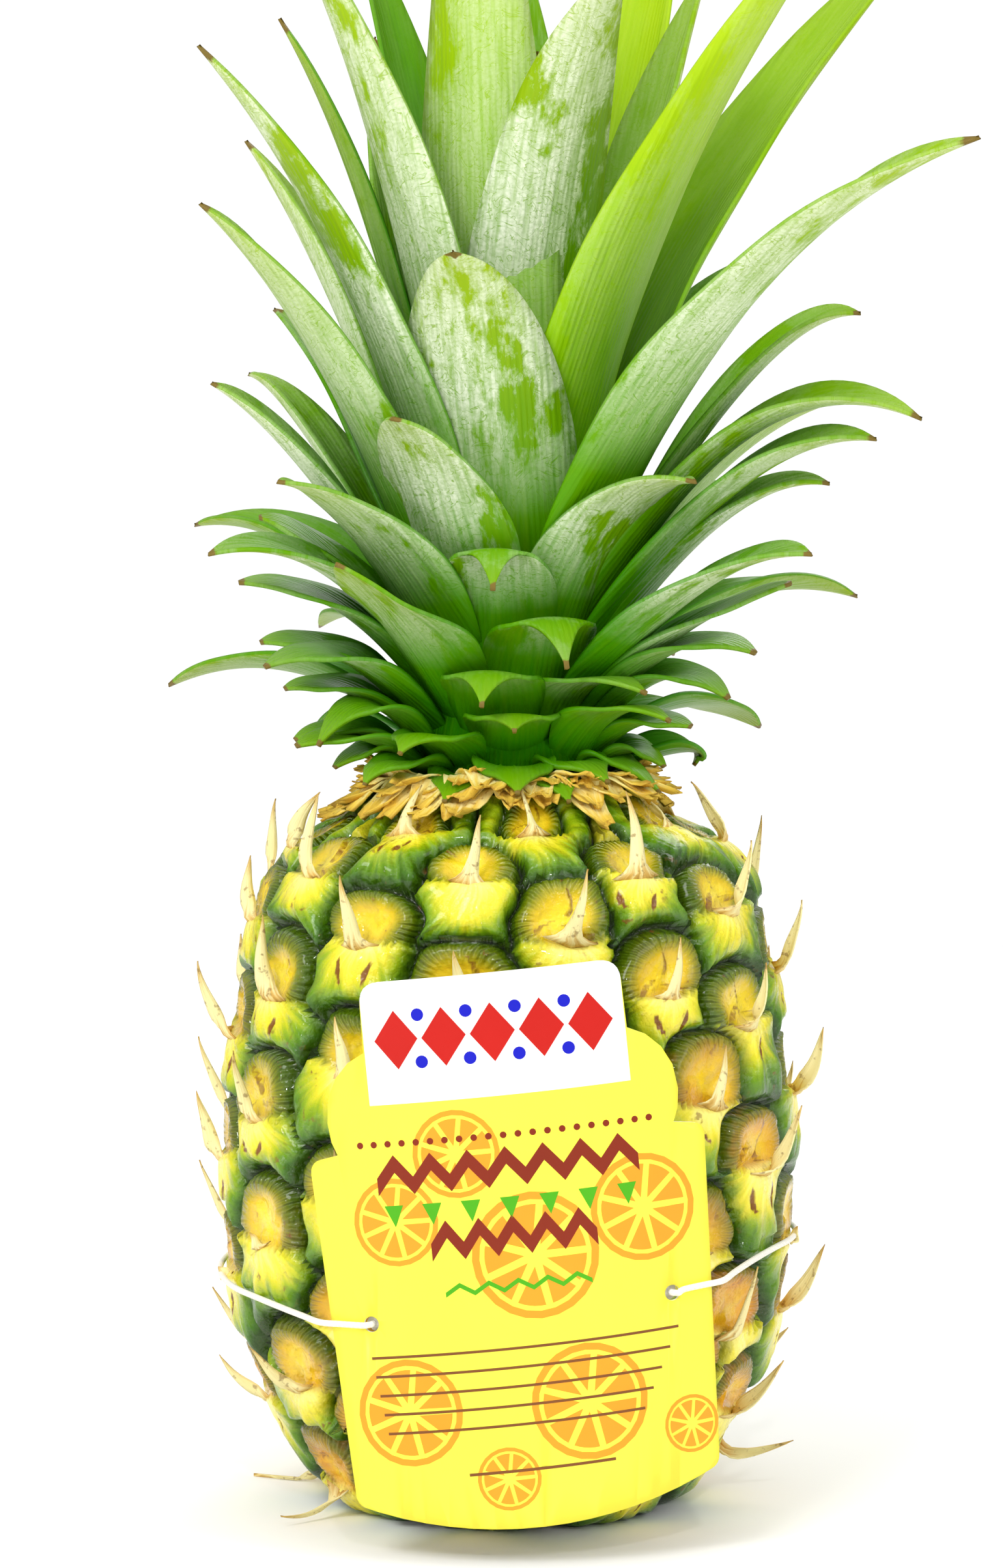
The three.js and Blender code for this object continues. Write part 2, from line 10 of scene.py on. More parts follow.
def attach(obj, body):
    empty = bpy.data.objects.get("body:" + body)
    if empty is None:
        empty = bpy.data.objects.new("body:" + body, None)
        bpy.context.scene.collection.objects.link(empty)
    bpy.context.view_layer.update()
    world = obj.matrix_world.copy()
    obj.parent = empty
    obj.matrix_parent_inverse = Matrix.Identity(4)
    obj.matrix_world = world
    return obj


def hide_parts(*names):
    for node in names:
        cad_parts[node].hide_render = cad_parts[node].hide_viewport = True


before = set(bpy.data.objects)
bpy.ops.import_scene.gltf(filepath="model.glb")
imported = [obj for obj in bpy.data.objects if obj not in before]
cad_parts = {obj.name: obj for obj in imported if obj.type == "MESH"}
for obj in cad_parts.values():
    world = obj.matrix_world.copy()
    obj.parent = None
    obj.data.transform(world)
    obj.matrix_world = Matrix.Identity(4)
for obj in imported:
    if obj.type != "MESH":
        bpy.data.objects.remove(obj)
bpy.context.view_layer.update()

bl_info = {
    "name": "Pineapple with a card tag",
    "version": (1, 0, 0),
    "blender": (4, 5, 0),
    "location": "View3D > Sidebar > Pineapple",
    "description": "Dresses a pineapple: rind, dry bracts, leaf crown, card tag and elastic",
    "category": "Object",
}

# Places are worked out in millimetres and turned to metres when a piece is finished
MM = 0.001
FULL_TURN = 2 * math.pi

# Fruit: the outline as radius and height, and the spiral of eyes on it
BASE_RADIUS = 29
FRUIT_HEIGHT = 155
FRUIT_OUTLINE = [
    (BASE_RADIUS, 0), (35, 0.7), (41.5, 5), (48, 15), (55.5, 29), (59.8, 43), (62, 58),
    (62.5, 74), (62, 88), (60.4, 101), (57.6, 119), (54, 134), (47.5, 143), (36, 149),
    (BASE_RADIUS, FRUIT_HEIGHT),
]
OUTLINE_SAMPLES = 4200
EYE_TURN = -48
EYE_DROP = 1.8
TOP_EYE_TURN = -105
TOP_EYE_DISTANCE = 5.8
BOTTOM_EYE_DISTANCE = 8
EYE_TILT = 16
DISC_HALF_WIDTH = 13.4
DISC_HALF_HEIGHT = 10.3
DISC_LIFT = 5.6
WING_BLEND = 0.6
# Eyes that grew off the even spiral, as read from the photo: degrees turned, millimetres raised
EYE_SHIFTS = {
    5: (-7, 1.5), 6: (0, 2), 7: (0, -4), 11: (0, 4), 12: (-7.5, -1), 14: (3, 2), 19: (-6, 2),
    20: (-2, 0), 22: (0, 4.4), 27: (-4, 0), 29: (-2, 2), 34: (-5, 4.8), 37: (0, 6), 42: (5, 4),
    44: (-3, 3), 49: (-4, 1), 52: (0, 6), 56: (-8, -4), 59: (0, 4), 64: (-11, -6), 67: (0, 8),
    71: (0, 6), 74: (6, 0), 82: (0, 6),
}
BELLY_RADIUS = 62.5
END_FADE = 12
END_ROWS = 10
SCAR_RADIUS = 17
# How far the middle of a cape lies below its bract
CAPE_DROP = 5

# Dry bract of each eye
SPINE_MARGIN = 9
SPINE_LEAN = 25
COVERED_SPINE_LENGTH = 14
COVERED_SPINE_LEAN = 12
SPLAYED_BELOW = 24
DRY_THICKNESS = 0.35
SPINE_GRID = (4, 10)

# Crown
CROWN_FOOT = FRUIT_HEIGHT + 0.3
HIGHEST_ROOT = 42
STEM_FOOT_RADIUS = 22
STEM_TOP_RADIUS = 10
STEM_HEIGHT = 45

# Leaves placed one by one from the photo, lowest first but for two small ones at the end. A row
# holds: turn from the front, root height, width, reach and height of the midrib half way,
# reach and height of the tip, twist.
FRONT_LEAVES = [
    (3, 3, 22, 28, 6, 38, 1, 0), (-50, 3, 21, 33, 7, 40, 2, 0), (35, 3, 21, 27, 7, 37, 3, 0),
    (62, 3, 18, 27, 7, 37, 0, 0), (-76, 3, 17, 30, 9, 39, 5, 10), (78, 3, 17, 28, 9, 35, 5, -10),
    (-34, 5, 24, 32, 13, 41, 9, 0), (2, 8, 25, 28, 17, 38, 14, 0), (48, 6, 23, 31, 18, 46, 16, 0),
    (76, 6, 19, 30, 15, 41, 14, -15), (-65, 6, 21, 33, 19, 45, 10, 15),
    (-80, 4, 19, 35, 13, 47, 11, 15), (-72, 3, 19, 34, 12, 48, 10, 15),
    (-8, 10, 27, 30, 26, 40, 19, 0), (40, 11, 26, 27, 24, 45, 22, 0),
    (-68, 12, 23, 38, 29, 56, 27, 15), (-84, 12, 19, 38, 30, 54, 32, 20),
    (-82, 10, 19, 36, 22, 49, 22, 15), (72, 10, 21, 36, 25, 50, 20, -15),
    (65, 12, 21, 40, 31, 58, 30, -15), (-38, 15, 29, 38, 37, 57, 49, 15),
    (17, 14, 29, 30, 37, 42, 27, 0), (52, 16, 25, 52, 44, 79, 51, -20),
    (64, 15, 20, 44, 36, 66, 45, -20), (-64, 18, 24, 43, 47, 70, 51, 20),
    (-78, 17, 20, 38, 40, 59, 45, 20), (-5, 18, 30, 30, 50, 37, 43, 0),
    (-48, 21, 32, 40, 54, 64, 66, 10), (42, 21, 30, 33, 56, 58, 66, 0),
    (66, 22, 24, 52, 64, 84, 75, -20), (74, 20, 21, 46, 57, 71, 66, -20),
    (-28, 24, 32, 34, 63, 50, 79, 10), (-56, 26, 34, 44, 86, 76, 123, 25),
    (-68, 23, 23, 44, 66, 67, 87, 25), (-110, 24, 24, 43, 73, 61, 91, 0),
    (-85, 20, 19, 38, 50, 54, 59, 20), (66, 25, 24, 54, 75, 94, 79, -20),
    (-14, 28, 42, 29, 84, 47, 113, 0), (-55, 30, 30, 38, 102, 77, 155, 25),
    (46, 30, 36, 64, 99, 127, 132, -25), (76, 27, 21, 50, 85, 77, 102, -25),
    (25, 34, 36, 20, 118, 55, 172, 0), (50, 34, 38, 37, 113, 94, 188, -15),
    (-50, 33, 31, 27, 115, 61, 187, 15), (-130, 38, 30, 22, 120, 44, 192, 0),
    (-20, 40, 36, 19, 128, 24, 224, 0), (128, 37, 38, 52, 119, 132, 204, 0),
    (150, 42, 36, 42, 134, 82, 222, 0), (-80, 34, 16, 27, 111, 49, 165, 0),
    (-22, 2, 20, 28, 4, 36, -1, 0), (21, 2, 19, 27, 4, 36, -1, 0),
]
# Bloom and yellowness of the tall leaves that differ from their neighbours, by place in the list
LEAF_LOOKS = {
    37: (0.8, 0.3), 38: (0.8, 0.3), 39: (0.7, 0.4), 41: (0.85, 0.3), 42: (0.12, 0.95),
    43: (0.75, 0.4), 44: (0.1, 0.0), 45: (0.35, 0.65), 46: (0.15, 0.5), 47: (0.08, 0.95),
    48: (0.1, 0.0),
}
INNER_LEAF_COUNT = 5
INNER_LEAF_WIDTH = 24
BACK_LEAF_COUNT = 23
BACK_LEAF_START = 102
BACK_LEAF_SPAN = 158
BACK_LEAF_TURN = 61
LEAF_DEPTH = 1.0
LEAF_COLUMNS = 10
LEAF_ROWS = 34

# Dry bracts under the crown
COLLAR_INNER_RADIUS = STEM_FOOT_RADIUS + 2.5
COLLAR_BLADES = 58
UPRIGHT_BLADES = 34
COLLAR_GRID = (5, 7)
GOLDEN_TURN = 137.5

# Tag, measured flat on the card from the centre of its body
TAG_BEND_RADIUS = 92
TAG_TILT = math.radians(6)
TAG_CENTRE = (3, 50)
TAG_FRONT = 68.5
TAG_BOTTOM_BOW = 7
TAG_TOP = 72
TAG_HALF_TURN = 48
PANEL_FOOT = 47
PANEL_HALF_WIDTH = 27
HOLE_OFFSET = (31.4, 2.5)
HOLE_RADIUS = 1.6
CARD_THICKNESS = 0.6
STRIP_WIDTH = 3
STRIPS_PER_SIDE = 15
ROUNDING_STEPS = 6
BOW_STEPS = 8
CIRCLE_SIDES = 24
# Corners of the card's right half as right, up and rounding
TAG_CORNERS = [
    (38.4, -34.5, 3), (41.9, 36.1, 3), (35.2, 37.3, 0), (36.4, 40, 0), (36.9, 44, 0), (36.2, 49, 0),
    (34.1, 53, 0), (31, 56, 0), (27.3, 57.8, 0), (27, TAG_TOP, 4.5),
]

# Print: right, up and radius of each fruit slice, and how far the inks stand off the card
SLICE_PLACES = [
    (-24, 23, 9), (27, 21, 11), (4, 14, 13), (-25, -16, 11), (12, -17, 12), (33, -25, 6),
    (-6, -31, 6.5), (-10, 36, 9),
]
SLICE_WEDGES = 9
WEDGE_GAP = 0.07 / FULL_TURN
# Shares of a slice's radius at which its wedges start and end and its peel starts
WEDGE_ROOT = 0.18
WEDGE_REACH = 0.8
PEEL_INSIDE = 0.88
FIRST_INK = 0.03
TOP_INK = 0.06

# Elastic
ELASTIC_RADIUS = 0.65
ELASTIC_ORBIT = 62.8
ELASTIC_LEFT_HEIGHT = 49.5
ELASTIC_RIGHT_HEIGHT = 60
ORBIT_START = 66
ORBIT_STEPS = 32
FREE_STEPS = 5
RIGHT_END_CLIMB = 0.24
SMOOTHING_PASSES = 30
ELASTIC_SAMPLES = 420
ELASTIC_SIDES = 12
# Turn from the front beyond which the elastic lies on the skin
ELASTIC_ON_SKIN = 58
KNOT_RADIUS = 2
OFF_CARD = 0.4

# Lamps, as name, place and size in metres, and share of the key lamp's power
LAMP_AIM = (0, 0, 0.18)
LAMPS = [
    ("key_lamp", (-0.55, -0.95, 0.95), 0.45, 1), ("side_lamp", (0.95, -0.6, 0.6), 0.5, 0.3),
    ("glint_lamp", (0.12, -1.15, 0.75), 0.05, 0.25),
    ("left_glint_lamp", (-0.8, -0.7, 0.35), 0.05, 0.12), ("back_lamp", (0.3, 0.9, 0.9), 0.6, 0.4),
]
BACKDROP_LIGHT = 1.05

# Camera, at the photograph's viewing angle
CAMERA_PLACE = (-1.4, -900, 205)
CAMERA_AIM = (-1.4, 0, 156)
PHOTO_HEIGHT_PX = 2408
FOCAL_LENGTH_PX = 6363
SENSOR_SIZE = 36


def linear(hex_colour):
    """An sRGB hex value such as "#8fb350" as linear red, green, blue and alpha."""
    parts = [int(hex_colour[place:place + 2], 16) / 255 for place in (1, 3, 5)]
    return [p / 12.92 if p <= 0.04045 else ((p + 0.055) / 1.055) ** 2.4 for p in parts] + [1.0]


def jitter(index, salt):
    """A fraction between 0 and 1 that looks random but is the same every time."""
    wave = math.sin(index * 12.9898 + salt * 78.233) * 43758.5453
    return wave - math.floor(wave)


def smooth_step(low, high, value):
    """0 below low, 1 above high, and a smooth rise between them."""
    t = np.clip((value - low) / (high - low), 0, 1)
    return t * t * (3 - 2 * t)


def hill(distance, width):
    """1 at no distance, falling smoothly away on both sides over about the width."""
    return np.exp(-(distance / width) ** 2)


def arc_point(first, elbow, last, part):
    """The point at a part of the way along a curve that bends towards an elbow."""
    return (1 - part) ** 2 * first + 2 * part * (1 - part) * elbow + part * part * last


def outward(turn):
    """Outward direction on the ground for a turn in degrees from the front."""
    angle = math.radians(turn)
    return np.array([math.sin(angle), -math.cos(angle), 0.0])


UP = np.array([0.0, 0.0, 1.0])


def swing(first, second, angle):
    """Two square ways, or the lengths along them, after the ways turn by an angle in radians."""
    cosine, sine = math.cos(angle), math.sin(angle)
    return first * cosine + second * sine, second * cosine - first * sine


def smooth_curve(points, samples):
    """Points of a smooth curve through the given ones, evenly spaced in the curve's parameter."""
    points = np.array(points, float)
    padded = np.vstack([points[:1], points, points[-1:]])
    spans = len(points) - 1
    place = np.linspace(0, spans, samples)
    first = np.minimum(place.astype(int), spans - 1)
    t = (place - first)[:, None]
    p0, p1, p2, p3 = (padded[first + offset] for offset in range(4))
    v0 = (p2 - p0) / 2
    v1 = (p3 - p1) / 2
    bend = 3 * p2 - 3 * p1 - 2 * v0 - v1
    return (2 * p1 - 2 * p2 + v0 + v1) * t ** 3 + bend * t ** 2 + v0 * t + p1


class Outline:
    """The fruit's outline, looked up by the distance along it from the base."""

    def __init__(self):
        curve = smooth_curve(FRUIT_OUTLINE, OUTLINE_SAMPLES)
        steps = np.hypot(*np.diff(curve, axis=0).T)
        self.distance = np.concatenate([[0], np.cumsum(steps)])
        self.length = float(self.distance[-1])
        self.radius, self.height = curve.T
        self.slope_out = np.gradient(self.radius, self.distance)
        self.slope_up = np.gradient(self.height, self.distance)

    def at(self, distance):
        """Radius, height and the two parts of the direction along the outline."""
        return [np.interp(distance, self.distance, values)
                for values in (self.radius, self.height, self.slope_out, self.slope_up)]

    def shoulder_height(self, radius):
        """Height of the fruit's shoulder at a radius."""
        upper = self.distance > self.length * 0.7
        return float(np.interp(-radius, -self.radius[upper], self.height[upper]))


OUTLINE = Outline()


def list_eyes():
    """Turn in degrees and distance along the outline of each eye, from the top down."""
    highest = OUTLINE.length - TOP_EYE_DISTANCE
    count = math.ceil((highest - BOTTOM_EYE_DISTANCE) / EYE_DROP)
    shifts = [EYE_SHIFTS.get(index, (0, 0)) for index in range(count)]
    return [(TOP_EYE_TURN + index * EYE_TURN + turned, highest - index * EYE_DROP + raised)
            for index, (turned, raised) in enumerate(shifts)]


def elastic_height(turn):
    """Height of the elastic round the sides and back, for a turn in degrees (arrays too)."""
    fraction = (np.mod(-turn - ORBIT_START, 360)) / (360 - 2 * ORBIT_START)
    climb = ELASTIC_RIGHT_HEIGHT - ELASTIC_LEFT_HEIGHT
    return ELASTIC_LEFT_HEIGHT + climb * np.clip(fraction, 0, 1)


def from_front(turn):
    """Turn in degrees brought between -180 and 180."""
    return np.mod(turn + 180, 360) - 180


# Nodes and materials

# Short names for the kinds of node, each with the settings that it always has
NODE_KINDS = {
    "attribute": ("ShaderNodeAttribute", {}),
    "background": ("ShaderNodeBackground", {}),
    "blend": ("ShaderNodeMix", {"data_type": "FLOAT"}),
    "bump": ("ShaderNodeBump", {}),
    "coordinates": ("ShaderNodeTexCoord", {}),
    "join": ("ShaderNodeCombineXYZ", {}),
    "light_path": ("ShaderNodeLightPath", {}),
    "mapping": ("ShaderNodeMapping", {}),
    "mix": ("ShaderNodeMix", {"data_type": "RGBA"}),
    "noise": ("ShaderNodeTexNoise", {}),
    "output": ("ShaderNodeOutputMaterial", {}),
    "ramp": ("ShaderNodeValToRGB", {}),
    "range": ("ShaderNodeMapRange", {}),
    "sine": ("ShaderNodeMath", {"operation": "SINE"}),
    "split": ("ShaderNodeSeparateXYZ", {}),
    "surface": ("ShaderNodeBsdfPrincipled", {}),
    "times": ("ShaderNodeMath", {"operation": "MULTIPLY"}),
    "times_plus": ("ShaderNodeMath", {"operation": "MULTIPLY_ADD"}),
    "tint": ("ShaderNodeMix", {"data_type": "RGBA", "blend_type": "MULTIPLY"}),
    "world_output": ("ShaderNodeOutputWorld", {}),
}


def add_node(tree, kind, *values, stops=(), **named):
    """Adds a node, fills its usable inputs in order and the named ones, and sets a ramp's stops."""
    node_type, settings = NODE_KINDS[kind]
    node = tree.nodes.new(node_type)
    for name, value in settings.items():
        setattr(node, name, value)
    pairs = list(zip([socket for socket in node.inputs if socket.enabled], values))
    pairs += [(node.inputs[name.replace("_", " ")], value) for name, value in named.items()]
    for socket, value in pairs:
        if isinstance(value, bpy.types.Node):
            value = next(output for output in value.outputs if output.enabled)
        if isinstance(value, bpy.types.NodeSocket):
            tree.links.new(value, socket)
        else:
            socket.default_value = value
    elements = node.color_ramp.elements if stops else []
    for index, (place, shade) in enumerate(stops):
        element = elements[index] if index < 2 else elements.new(place)
        element.position = place
        element.color = linear(shade) if isinstance(shade, str) else (shade, shade, shade, 1)
    return node


def new_nodes(owner):
    """Empties a material's or world's node tree and returns the function that adds nodes to it."""
    owner.use_nodes = True
    owner.node_tree.nodes.clear()
    return partial(add_node, owner.node_tree)


def new_material(name):
    """A material without nodes yet, and the function that adds them."""
    material = bpy.data.materials.new(name)
    return material, new_nodes(material)


def attribute_parts(add, name):
    """The three numbers of a vector attribute as three sockets."""
    source = add("attribute")
    source.attribute_name = name
    return add("split", source.outputs["Vector"]).outputs


def rind_material(settings):
    """Waxy pineapple rind: glossy olive rims round golden sepals, and fleshy green capes."""
    material, add = new_material("waxy_pineapple_rind")
    cape, reach, edge = attribute_parts(add, "eye_form")
    theta, fan, tone = attribute_parts(add, "eye_rays")
    chance, ripe, slit = attribute_parts(add, "eye_look")
    place = add("coordinates").outputs["Object"]

    # Patches about 8 mm across and speckles about 2.4 mm across
    patches = add("noise", place, Scale=120, Detail=3)
    speckles = add("noise", place, Scale=420, Detail=3)
    # Streaks that spread from the bract down the cape, and round the sepals like spokes
    seed = add("times", chance, 60)
    cape_streaks = add("noise", add("join", add("times", fan, 9), tone, seed), Scale=1, Detail=4)
    disc_streaks = add("noise", add("join", add("times", theta, 9), reach, seed), Scale=1, Detail=4)

    # Golden sepals inside an olive rim, orange ones on the riper eyes low on the fruit
    disc_tone = add("times_plus", patches, 0.36, add("times_plus", disc_streaks, 0.09, reach))
    disc_tone = add("times", disc_tone, 0.62)
    green_disc = add("ramp", disc_tone, stops=[
        (0.0, "#f8e63c"), (1.0, "#2c4200"), (0.32, "#f1d42a"), (0.41, "#dcbc1c"), (0.49, "#aca010"),
        (0.57, "#7a8206"), (0.67, "#4c6602")])
    ripe_disc = add("ramp", disc_tone, stops=[
        (0.0, "#fbda38"), (1.0, "#3c4a00"), (0.3, "#f0b222"), (0.43, "#e49418"), (0.52, "#d08a12"),
        (0.61, "#a0800c"), (0.71, "#667004")])
    disc = add("mix", ripe, green_disc, ripe_disc)
    flush = add("times", add("ramp", patches, stops=[(0.5, 0.0), (0.66, 0.8)]), ripe)
    disc = add("mix", flush, disc, linear("#e0842a"))

    cape_tone = add("times", add("times_plus", cape_streaks, 0.55, tone), 0.62)
    green_cape = add("ramp", cape_tone, stops=[
        (0.12, "#f9ee7a"), (1.0, "#284600"), (0.26, "#f2e440"), (0.36, "#e0d426"),
        (0.46, "#c0c416"), (0.56, "#92ac0c"), (0.68, "#648e04"), (0.84, "#3e6c02")])
    skin = add("mix", cape, disc, green_cape)

    # Painted dark green shade in the creases, brown spots, and the two slits of each cape
    shade = add("ramp", add("times", edge, 0.25), stops=[(0.04, 1.0), (0.4, 0.0), (0.16, 0.45)])
    skin = add("mix", shade, skin, settings.crease_shade_colour)
    spots = add("ramp", speckles, stops=[(0.63, 0.0), (0.7, 0.75)])
    spots = add("times", spots, add("ramp", patches, stops=[(0.5, 0.0), (0.62, 1.0)]))
    skin = add("mix", spots, skin, settings.spot_colour)
    slits = add("ramp", add("times_plus", speckles, 0.5, slit), stops=[(0.55, 0.95), (0.8, 0.0)])
    skin = add("mix", slits, skin, settings.spot_colour)

    # Fine wrinkles across each rim, and pleats along each cape's lower edge
    wobble = add("times", patches, 9)
    rim_wave = add("sine", add("times_plus", theta, 36, wobble))
    rim_zone = add("ramp", reach, stops=[(0.5, 0.0), (1.0, 0.5), (0.8, 1.0)])
    cape_wave = add("sine", add("times_plus", fan, 24, wobble))
    cape_zone = add("ramp", tone, stops=[(0.35, 0.1), (0.8, 1.0)])
    rim_relief = add("times", rim_wave, rim_zone)
    relief = add("blend", cape, rim_relief, add("times", cape_wave, cape_zone))
    heights = add("times_plus", relief, settings.wrinkle_height / MM, speckles)
    bump = add("bump", Strength=0.8, Distance=MM, Height=heights)
    gloss = add("ramp", speckles, stops=[(0.3, 0.1), (0.7, 0.3)])
    rough = add("times_plus", cape, 0.12, gloss)
    add("output", add("surface", Base_Color=skin, Normal=bump, Roughness=rough, IOR=1.38,
                      Coat_Weight=0.34, Coat_Roughness=0.05))
    return material


def dry_material(name, pale, mid, dark, is_spine):
    """Dry papery plant tissue: matt, streaked along its length, brown at root and tip."""
    material, add = new_material(name)
    across, along, seed = attribute_parts(add, "blade_place")
    streaks = add("noise", add("join", add("times", across, 2.6), along, seed), Scale=1.6, Detail=4)
    tone = add("times", add("times_plus", streaks, 0.9, along), 0.55)
    stops = [(0.15, mid), (0.95, dark), (0.3, pale), (0.42, mid), (0.52, pale), (0.68, mid)]
    if is_spine:
        stops = [(0.1, dark), (1.0, dark), (0.24, mid), (0.36, pale), (0.62, pale), (0.8, mid)]
    flecks = add("noise", add("coordinates").outputs["Object"], Scale=700, Detail=2)
    flecks = add("ramp", flecks, stops=[(0.6, 0.0), (0.7, 0.6)])
    colour = add("mix", flecks, add("ramp", tone, stops=stops), linear(dark))
    bump = add("bump", Strength=0.6, Distance=0.4 * MM, Height=streaks)
    add("output", add("surface", Base_Color=colour, Normal=bump, Roughness=0.75, IOR=1.4))
    return material


def leaf_material(name, settings, is_upper):
    """Tough bromeliad leaf: fine lengthwise ribs, a scuffed chalky bloom on the outer face."""
    material, add = new_material(name)
    across, along, seed = attribute_parts(add, "leaf_place")
    fraction, bloom, yellow = attribute_parts(add, "leaf_look")
    # Streaks run along the leaf, so lengths are squeezed before the noise reads them
    squeezed = add("join", across, add("times", along, 0.07), seed)
    streaks = add("noise", squeezed, Scale=0.9, Detail=4)
    even = add("join", across, along, seed)
    patches = add("noise", add("mapping", even, Scale=(1.0, 0.35, 1.0)),
                  Scale=0.08, Detail=7, Roughness=0.68)
    scuffs = add("noise", even, Scale=0.16, Detail=2, Distortion=2.5)
    grains = add("noise", even, Scale=1.4, Detail=2)

    tone = add("times", add("times_plus", streaks, 0.3, fraction), 0.8)
    lower = [(0.08, "#106000"), (1.0, "#94ac1c"), (0.2, "#2a7e00"), (0.34, "#468800"),
             (0.6, "#6c9806")]
    upper = [(0.08, "#105400"), (1.0, "#6c9c0c"), (0.2, "#227000"), (0.4, "#3a8200"),
             (0.7, "#549200")]
    bright = [(0.1, "#4a9600"), (1.0, "#c4dc1c"), (0.3, "#78b400"), (0.55, "#9ec808")]
    greens = add("ramp", tone, stops=upper if is_upper else lower)
    green = add("mix", yellow, greens, add("ramp", tone, stops=bright))

    # Bloom lies in patches, rubbed off in fine lines and curly scuffs, and is missing at the foot
    masks = [
        add("ramp", patches, stops=[(0.42, 0.0), (0.49, 1.0)]),
        add("ramp", streaks, stops=[(0.34, 0.45), (0.56, 1.0)]),
        add("ramp", scuffs, stops=[(0.48, 1.0), (0.52, 1.0), (0.5, 0.15)]),
        add("range", grains, 0.3, 0.65, 0.6, 1.0),
        add("ramp", fraction, stops=[(0.24, 0.0), (1.0, 0.75), (0.5, 1.0)]),
    ]
    powder = bloom
    for mask in masks + [0.25] * is_upper:
        powder = add("times", powder, mask)
    colour = add("mix", powder, green, settings.bloom_colour)

    # Dry straw-brown tip
    tip = add("ramp", add("times_plus", streaks, 0.05, fraction), stops=[(0.992, 0.0), (1.0, 1.0)])
    colour = add("mix", tip, colour, settings.tip_colour)

    ribs = add("sine", add("times", across, FULL_TURN / (settings.rib_spacing / MM)))
    height = add("times_plus", ribs, 0.12, streaks)
    bump = add("bump", Strength=0.5, Distance=0.5 * MM, Height=height)
    rough = add("range", powder, 0, 1, 0.34, 0.7)
    add("output", add("surface", Base_Color=colour, Normal=bump, Roughness=rough, IOR=1.4,
                      Specular_IOR_Level=0.18))
    return material


def card_material(name, colour, roughness):
    """Coated printed board: even colour, slight sheen, a faint tooth in the surface."""
    material, add = new_material(name)
    place = add("coordinates").outputs["Object"]
    faint = add("range", add("noise", place, Scale=45, Detail=3), 0, 1, 0.9, 1.06)
    tooth = add("noise", place, Scale=900, Detail=2)
    bump = add("bump", Strength=0.15, Distance=0.1 * MM, Height=tooth)
    add("output", add("surface", Base_Color=add("tint", 1.0, colour, faint), Normal=bump,
                      Roughness=roughness, IOR=1.5, Specular_IOR_Level=0.3))
    return material


def elastic_material(settings):
    """Braided elastic: matt off-white threads that cross in a fine plait."""
    material, add = new_material("braided_elastic")
    angle, along, _ = attribute_parts(add, "blade_place")
    # A thread comes round every millimetre, drawn coarser than the real plait so that it shows
    threads = add("sine", add("times_plus", along, FULL_TURN, angle))
    # Painted shade: darker cream in the grooves between the threads, near white on their crowns
    shade = add("ramp", threads, stops=[(0.0, "#e2dac2"), (0.5, "#fffdf4")])
    colour = add("mix", 0.7, shade, settings.elastic_colour)
    bump = add("bump", Strength=0.5, Distance=0.1 * MM, Height=threads)
    add("output", add("surface", Base_Color=colour, Normal=bump, Roughness=0.7, IOR=1.5))
    return material


# Pieces

def finish_piece(bm, name, materials, replaced=(), thickness=0, wall_step=0):
    """Turns a bmesh in millimetres into a smooth piece; a sheet also gets walls behind its face."""
    bmesh.ops.scale(bm, vec=(MM, MM, MM), verts=bm.verts)
    mesh = bpy.data.meshes.new(name)
    bm.to_mesh(mesh)
    bm.free()
    mesh.shade_smooth()
    for material in materials:
        mesh.materials.append(material)
    piece = bpy.data.objects.new(name, mesh)
    bpy.context.scene.collection.objects.link(piece)
    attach(piece, "root")
    if replaced:
        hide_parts(*replaced)
    if thickness:
        walls = piece.modifiers.new("walls", "SOLIDIFY")
        walls.thickness = thickness
        walls.offset = -1
        walls.use_even_offset = False
        walls.material_offset = wall_step
        walls.material_offset_rim = wall_step
    return piece


def eye_place(index, eye, turn, distance, radius, wander):
    """How places on the skin lie in one eye: across, up, across and up its disc, reach, wing."""
    chance, other_chance = jitter(index, 21), jitter(index, 22)
    size = np.clip(radius / BELLY_RADIUS, 0.45, 1.05)
    across = (np.radians(from_front(turn - eye[0])) * radius + wander[0]) / size
    up = distance - eye[1] + wander[1]
    tilt = math.radians(EYE_TILT) * (chance - 0.5)
    side, rise = swing(across, up, tilt)
    # The sepal disc sits above the bract, the cape below it with its two sharp wings
    disc_side = side / (DISC_HALF_WIDTH + (other_chance - 0.5))
    disc_rise = (rise - DISC_LIFT) / (DISC_HALF_HEIGHT + 0.8 * (other_chance - 0.5))
    roundness = 2.1 + 0.8 * jitter(index, 24)
    reach = (np.abs(disc_side) ** roundness + np.abs(disc_rise) ** roundness) ** (1 / roundness)
    ragged = 0.35 * np.sin(side * 2.9 + 9 * chance) + 0.25 * np.sin(side * 5.3 + 4 * other_chance)
    wing = 0.9 + 1.6 * (side / 15) ** 2 + ragged * smooth_step(3, 7, np.abs(side))
    return side, rise, disc_side, disc_rise, reach, wing


